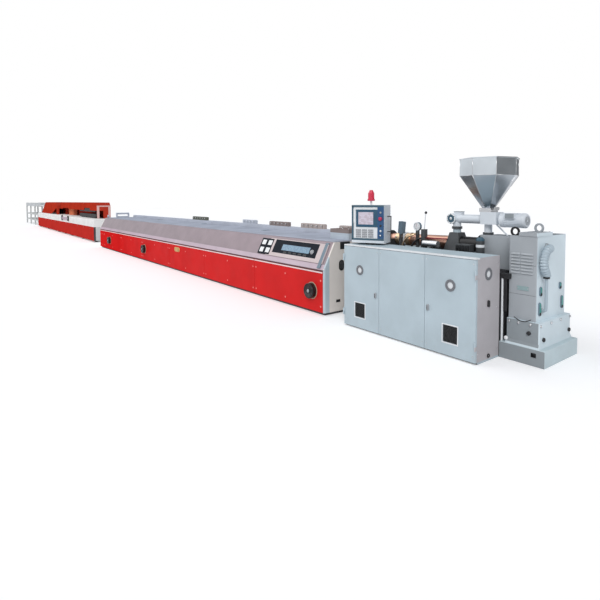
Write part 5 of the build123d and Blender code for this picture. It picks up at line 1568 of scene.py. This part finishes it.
        def plate(
            x: tuple[float, float], share: tuple[float, float], finish: Finish, out: float,
            depth: float = 0.003,
        ) -> None:
            """Add a plate that lies on the console's slope.

            Args:
                x: its span along the line, as stations.
                share: its span up the slope, from 0 to 1.
                finish: its finish.
                out: how far its top is off the console.
                depth: how thick it is.
            """
            (y0, z0), (y1, z1) = self.slope(share[0], rise + out), self.slope(share[1], rise + out)
            middle = Vector((at((x[0] + x[1]) / 2), (y0 + y1) / 2, (z0 + z1) / 2))
            length = math.hypot(y1 - y0, z1 - z0)
            tilt = math.atan2(z1 - z0, y1 - y0)
            turn = Matrix.Translation(middle) @ Matrix.Rotation(tilt, 4, "X")
            piece.box(
                (-(x[1] - x[0]) / 2, -length / 2, -depth), ((x[1] - x[0]) / 2, length / 2, 0.0), finish,
                0.0012, turn,
            )

        plate((-4.24, -3.885), (0.22, 0.87), Paint.console_black, 0.002, 0.015)
        plate((-3.82, -2.68), (0.34, 0.87), Paint.console_black, 0.002, 0.004)
        for column in (-4.20, -4.02):
            for share in (0.29, 0.60):
                plate((column, column + 0.11), (share, share + 0.20), Paint.key_white, 0.005)
        plate((-3.58, -2.86), (0.47, 0.70), Paint.blue_screen, 0.004)
        for index in range(5):
            x = -3.50 + index * 0.13
            plate((x, x + 0.08), (0.37, 0.43), Paint.gasket, 0.004)
        plate((-2.565, -2.50), (0.04, 0.95), Paint.slate, 0.002, 0.016)
        y, z = self.slope(0.55, rise)
        direction = self.slope(0.55, rise + 1.0)
        knob = [(0, 0.035), (0.010, 0.035), (0.012, 0.026), (0.026, 0.024), (0.028, 0)]
        piece.turned(knob, (at(-2.79), y, z), (0, direction[0] - y, direction[1] - z), Paint.key_grey, 24)
        piece.place("line_frame", "console_black")

    def deck_details(self) -> None:
        """Add lifting slots in the covers, clamp screws and gaps on the far blocks, and nuts."""
        s = self.sizes
        piece = self.piece("deck_details")
        clamp_screw = [(0, 0.010), (0.016, 0.010), (0.018, 0.0)]
        nut = [(0, 0.011), (0.012, 0.011), (0.012, 0)]
        for x, y in ((-11.44, 0.18), (-8.35, 0.2), (-5.09, 0.0)):
            piece.box(
                (at(x) - 0.06, y - 0.09, s.deck), (at(x) + 0.06, y + 0.09, s.deck + 0.006), Paint.duct, 0.002,
            )
            piece.box(
                (at(x) - 0.045, y - 0.075, s.deck + 0.0055), (at(x) + 0.045, y + 0.075, s.deck + 0.008),
                Paint.slate, 0.001,
            )
        for station, length in s.clamps:
            count = max(int(length / 0.13), 2)
            for step in range(count):
                x = at(station + length * ((step + 0.5) / count - 0.5))
                piece.turned(clamp_screw, (x, 0.4155, s.duct_top + 0.05), NEAR, Paint.zinc, 10)
                piece.box(
                    (x + 0.028, 0.4130, s.duct_top + 0.008), (x + 0.034, 0.4155, s.duct_top + 0.074),
                    Paint.gasket, 0.0008,
                )
        for x in (-2.66, -2.52):
            for y in (-0.15, 0.15):
                piece.turned(nut, (at(x), y, 1.1618), UP, Paint.steel, 6)
        piece.place("line_frame", "grey_brown_enamel")


@dataclass
class HaulOffSizes:
    """The haul-off's sizes, in metres."""

    start: float = -16.950
    modules: tuple[float, ...] = (4.73, 3.30, 6.87)
    half_width: float = 0.45
    base_top: float = 0.585
    deck_top: float = 0.865
    pass_height: float = 1.085
    hood_end: float = -18.030
    hood_front: float = -0.090
    hood_back: float = 0.430
    hood_top: float = 1.520
    track_start: float = -18.330
    lug_start: float = 0.12
    lug_pitch: float = 0.066
    lug_count: int = 44
    wheels: tuple[float, float] = (-23.414, -21.912)
    wheel_front: float = -0.492
    wheel_height: float = 0.778


class HaulOff(Dresser):
    """The red haul-off and cutter with their hoods."""

    sizes: HaulOffSizes = HaulOffSizes()

    def build(self) -> None:
        """Dress the haul-off's parts and add its small parts."""
        s = self.sizes
        start = at(s.start)
        self.dress("haul_off_base", Paint.base_red, (
            # painted shadow: the bottom of the base is painted near-black
            Zone((at(-33.0), -0.5, -0.1), (at(-16.9), 0.5, 0.0545), Paint.dark),
        ))
        self.dress("haul_off_deck", Paint.white, (
            Zone((start - 0.001, -0.46, 0.0), (start + 0.05, 0.46, s.base_top), Paint.stacker),
            # painted shadow: the near part of the deck's end face is painted near-black
            Zone((start - 0.001, -0.46, 0.0), (start + 0.05, -0.385, s.base_top), Paint.dark),
        ))
        self.dress("haul_off_tracks", Paint.rubber)
        self.dress("haul_off_hood", Paint.hood_red)
        self.dress("cutter_hood", Paint.hood_red)
        self.dress("track_carriers", Paint.dark)
        self.dress("haul_off_fittings", Paint.orange, (
            Zone((at(-24.0), -0.50, 0.5), (at(-21.7), -0.44, 1.0), Paint.rubber),
            Zone(
                (at(s.wheels[0]) + 0.13, -0.485, 0.6), (at(s.wheels[1]) - 0.13, -0.44, 1.0),
                Paint.mauve_strip,
            ),
        ))
        self.details()

    def details(self) -> None:
        """Add track lugs, base latches, wheel hubs and the hood's end frame."""
        s = self.sizes
        piece = self.piece("haul_off_details")
        for side in (-1, 1):
            face = s.pass_height + side * 0.045
            for index in range(s.lug_count):
                x = at(s.track_start - s.lug_start - index * s.lug_pitch)
                piece.box(
                    (x - 0.022, -0.062, face - 0.001), (x + 0.022, 0.062, face + side * 0.010), Paint.rubber,
                    0.003,
                )
        station = s.start
        for length in s.modules:
            count = max(int(length / 1.1), 1)
            for index in range(count):
                x = at(station - length * (index + 0.5) / count)
                piece.box(
                    (x - 0.03, -s.half_width - 0.004, 0.50), (x + 0.03, -s.half_width, 0.53), Paint.black,
                    0.002,
                )
            station -= length
        for station in s.wheels:
            piece.disc((at(station), s.wheel_front, s.wheel_height), NEAR, 0.05, 0.006, Paint.key_grey, 24)
        end = at(s.hood_end)
        low, high = s.deck_top + 0.01, s.hood_top - 0.175
        piece.box(
            (end - 0.001, s.hood_front + 0.002, high), (end + 0.006, s.hood_back - 0.002, high + 0.05),
            Paint.pink_frame, 0.001,
        )
        for y in (s.hood_front + 0.002, s.hood_back - 0.092):
            piece.box((end - 0.001, y, low), (end + 0.006, y + 0.09, high), Paint.pink_frame, 0.001)
        piece.place("line_frame", "red_enamel")


class Stacker(Dresser):
    """The stacker's frame and tray."""

    rollers: int = 12
    inset: float = 0.2

    def build(self) -> None:
        """Dress the stacker's parts and add its tray rollers."""
        self.dress("stacker_frame", Paint.stacker)
        self.dress("stacker_tray", Paint.zinc)
        piece = self.piece("stacker_details")
        low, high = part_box("stacker_tray")
        roller = [(0, 0.018), (0.7, 0.018), (0.7, 0)]
        for index in range(self.rollers):
            x = low[0] + self.inset + index * (high[0] - low[0] - 2 * self.inset) / (self.rollers - 1)
            piece.turned(roller, (x, -0.35, low[2] + 0.03), (0, 1, 0), Paint.steel, 16)
        piece.place("line_frame", "galvanised_steel")


@dataclass
class Studio:
    """Camera, floor, lights and backdrop."""

    camera_station: float = 2.480
    camera_side: float = -4.537
    camera_height: float = 1.576
    yaw: float = 50.19
    pitch: float = 2.825
    roll: float = 0.087
    lens: float = 27.62
    shift: tuple[float, float] = (-0.0622, -0.1275)
    floor_tone: Colour = (0.86, 0.86, 0.87)
    floor_lift: float = 0.23
    soft_tone: Colour = (0.93, 0.96, 1.0)
    soft_strength: float = 0.5
    dark_side: Point = (0.53, 0.85, 0.0)
    room_tones: tuple[tuple[float, Colour], ...] = ((0.42, (0.22, 0.23, 0.25)), (0.62, (0.95, 0.97, 1.0)))
    lamps: list[tuple[Point, float, float]] = field(default_factory=lambda: [
        ((52.0, 0.0, 42.0), 1.6, 30.0),
        ((48.0, 0.0, -62.0), 0.6, 50.0),
    ])

    def build(self) -> None:
        """Set up everything that isn't the object."""
        self.camera()
        self.floor()
        self.light()
        self.backdrop()
        bpy.context.scene.view_settings.view_transform = "Standard"

    def camera(self) -> None:
        """Place the camera as the photo was taken."""
        data = bpy.data.cameras.new("camera")
        data.sensor_width = 36.0
        data.lens = self.lens
        data.shift_x, data.shift_y = self.shift
        data.clip_start, data.clip_end = 0.1, 200.0
        made = bpy.data.objects.new("camera", data)
        made.location = (at(self.camera_station), self.camera_side, self.camera_height)
        made.rotation_euler = (math.radians(90 - self.pitch), 0.0, math.radians(self.yaw))
        made.rotation_euler.rotate_axis("Z", math.radians(-self.roll))
        bpy.context.collection.objects.link(made)
        bpy.context.scene.camera = made

    def floor(self) -> None:
        """Add a plain pale floor."""
        mesh = bmesh.new()
        bmesh.ops.create_grid(mesh, x_segments=1, y_segments=1, size=70.0)
        data = bpy.data.meshes.new("floor")
        mesh.to_mesh(data)
        mesh.free()
        made = bpy.data.objects.new("floor", data)
        made.location = (0.0, 0.0, -0.001)
        bpy.context.collection.objects.link(made)
        graph = Graph(bpy.data.materials.new("floor_tone"))
        clouds = graph.noise(0.6, 2.0)
        tone = graph.mix(clouds, tuple(c * 0.99 for c in self.floor_tone), self.floor_tone)
        matt = graph.node("BsdfPrincipled", {"Base Color": tone, "Roughness": 0.9, "Specular IOR Level": 0.1})
        glow = graph.node("Emission", {"Color": (1.0, 1.0, 1.0, 1.0), "Strength": self.floor_lift})
        lifted = graph.node("AddShader", {0: matt.outputs[0], 1: glow.outputs[0]})
        seen = graph.node("LightPath").outputs["Is Camera Ray"]
        shader = graph.node("MixShader", {0: seen, 1: matt.outputs[0], 2: lifted.outputs[0]})
        graph.close(shader.outputs[0])
        data.materials.append(graph.owner)

    def light(self) -> None:
        """Add soft lamps far off, so that the long line is lit evenly."""
        for index, (turn, strength, angle) in enumerate(self.lamps):
            data = bpy.data.lights.new(f"lamp_{index}", "SUN")
            data.energy = strength
            data.angle = math.radians(angle)
            made = bpy.data.objects.new(f"lamp_{index}", data)
            made.rotation_euler = tuple(math.radians(v) for v in turn)
            bpy.context.collection.objects.link(made)

    def backdrop(self) -> None:
        """Show plain white behind the object, and a soft room, darker on one side, in its reflections."""
        graph = Graph(bpy.data.worlds.new("backdrop"), "OutputWorld")
        view = graph.coordinates.node.outputs["Generated"]
        height = graph.node("SeparateXYZ", {0: view}).outputs[2]
        share = graph.node("Math", {0: height, 1: 0.5, 2: 0.5}, operation="MULTIPLY_ADD").outputs[0]
        room = graph.node("ValToRGB", {0: share})
        for index, (position, tone) in enumerate(self.room_tones):
            room.color_ramp.elements[index].position = position
            room.color_ramp.elements[index].color = (*tone, 1.0)
        facing = graph.node(
            "VectorMath", {0: view, 1: self.dark_side}, operation="DOT_PRODUCT",
        ).outputs["Value"]
        strength = graph.ramp(facing, -0.35, 0.45, 1.0, 0.26)
        glossy = graph.node("Background", {0: room.outputs[0], 1: strength}).outputs[0]
        soft = graph.node("Background", {0: self.soft_tone, 1: self.soft_strength}).outputs[0]
        white = graph.node("Background", {0: (1.0, 1.0, 1.0)}).outputs[0]
        rays = graph.node("LightPath").outputs
        seen_by_object = graph.node("MixShader", {0: rays["Is Glossy Ray"], 1: soft, 2: glossy}).outputs[0]
        graph.close(
            graph.node("MixShader", {0: rays["Is Camera Ray"], 1: seen_by_object, 2: white}).outputs[0]
        )
        bpy.context.scene.world = graph.owner


def main() -> None:
    """Load the frame, dress every sub-assembly and set up the studio."""
    logging.basicConfig(level=logging.INFO, format="%(name)s: %(message)s")
    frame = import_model()
    Line.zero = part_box("machine_frame")[1][0]
    LOG.info("stations start at x = %.4f m", Line.zero)
    stock = Stock()
    for assembly in (Cabinet, Barrel, Feeder, GearTower, ControlBox, CalibrationTable, HaulOff, Stacker):
        assembly(frame, stock).build()
        LOG.info("%s done", assembly.__name__)
    Studio().build()


if __name__ == "__main__":
    main()
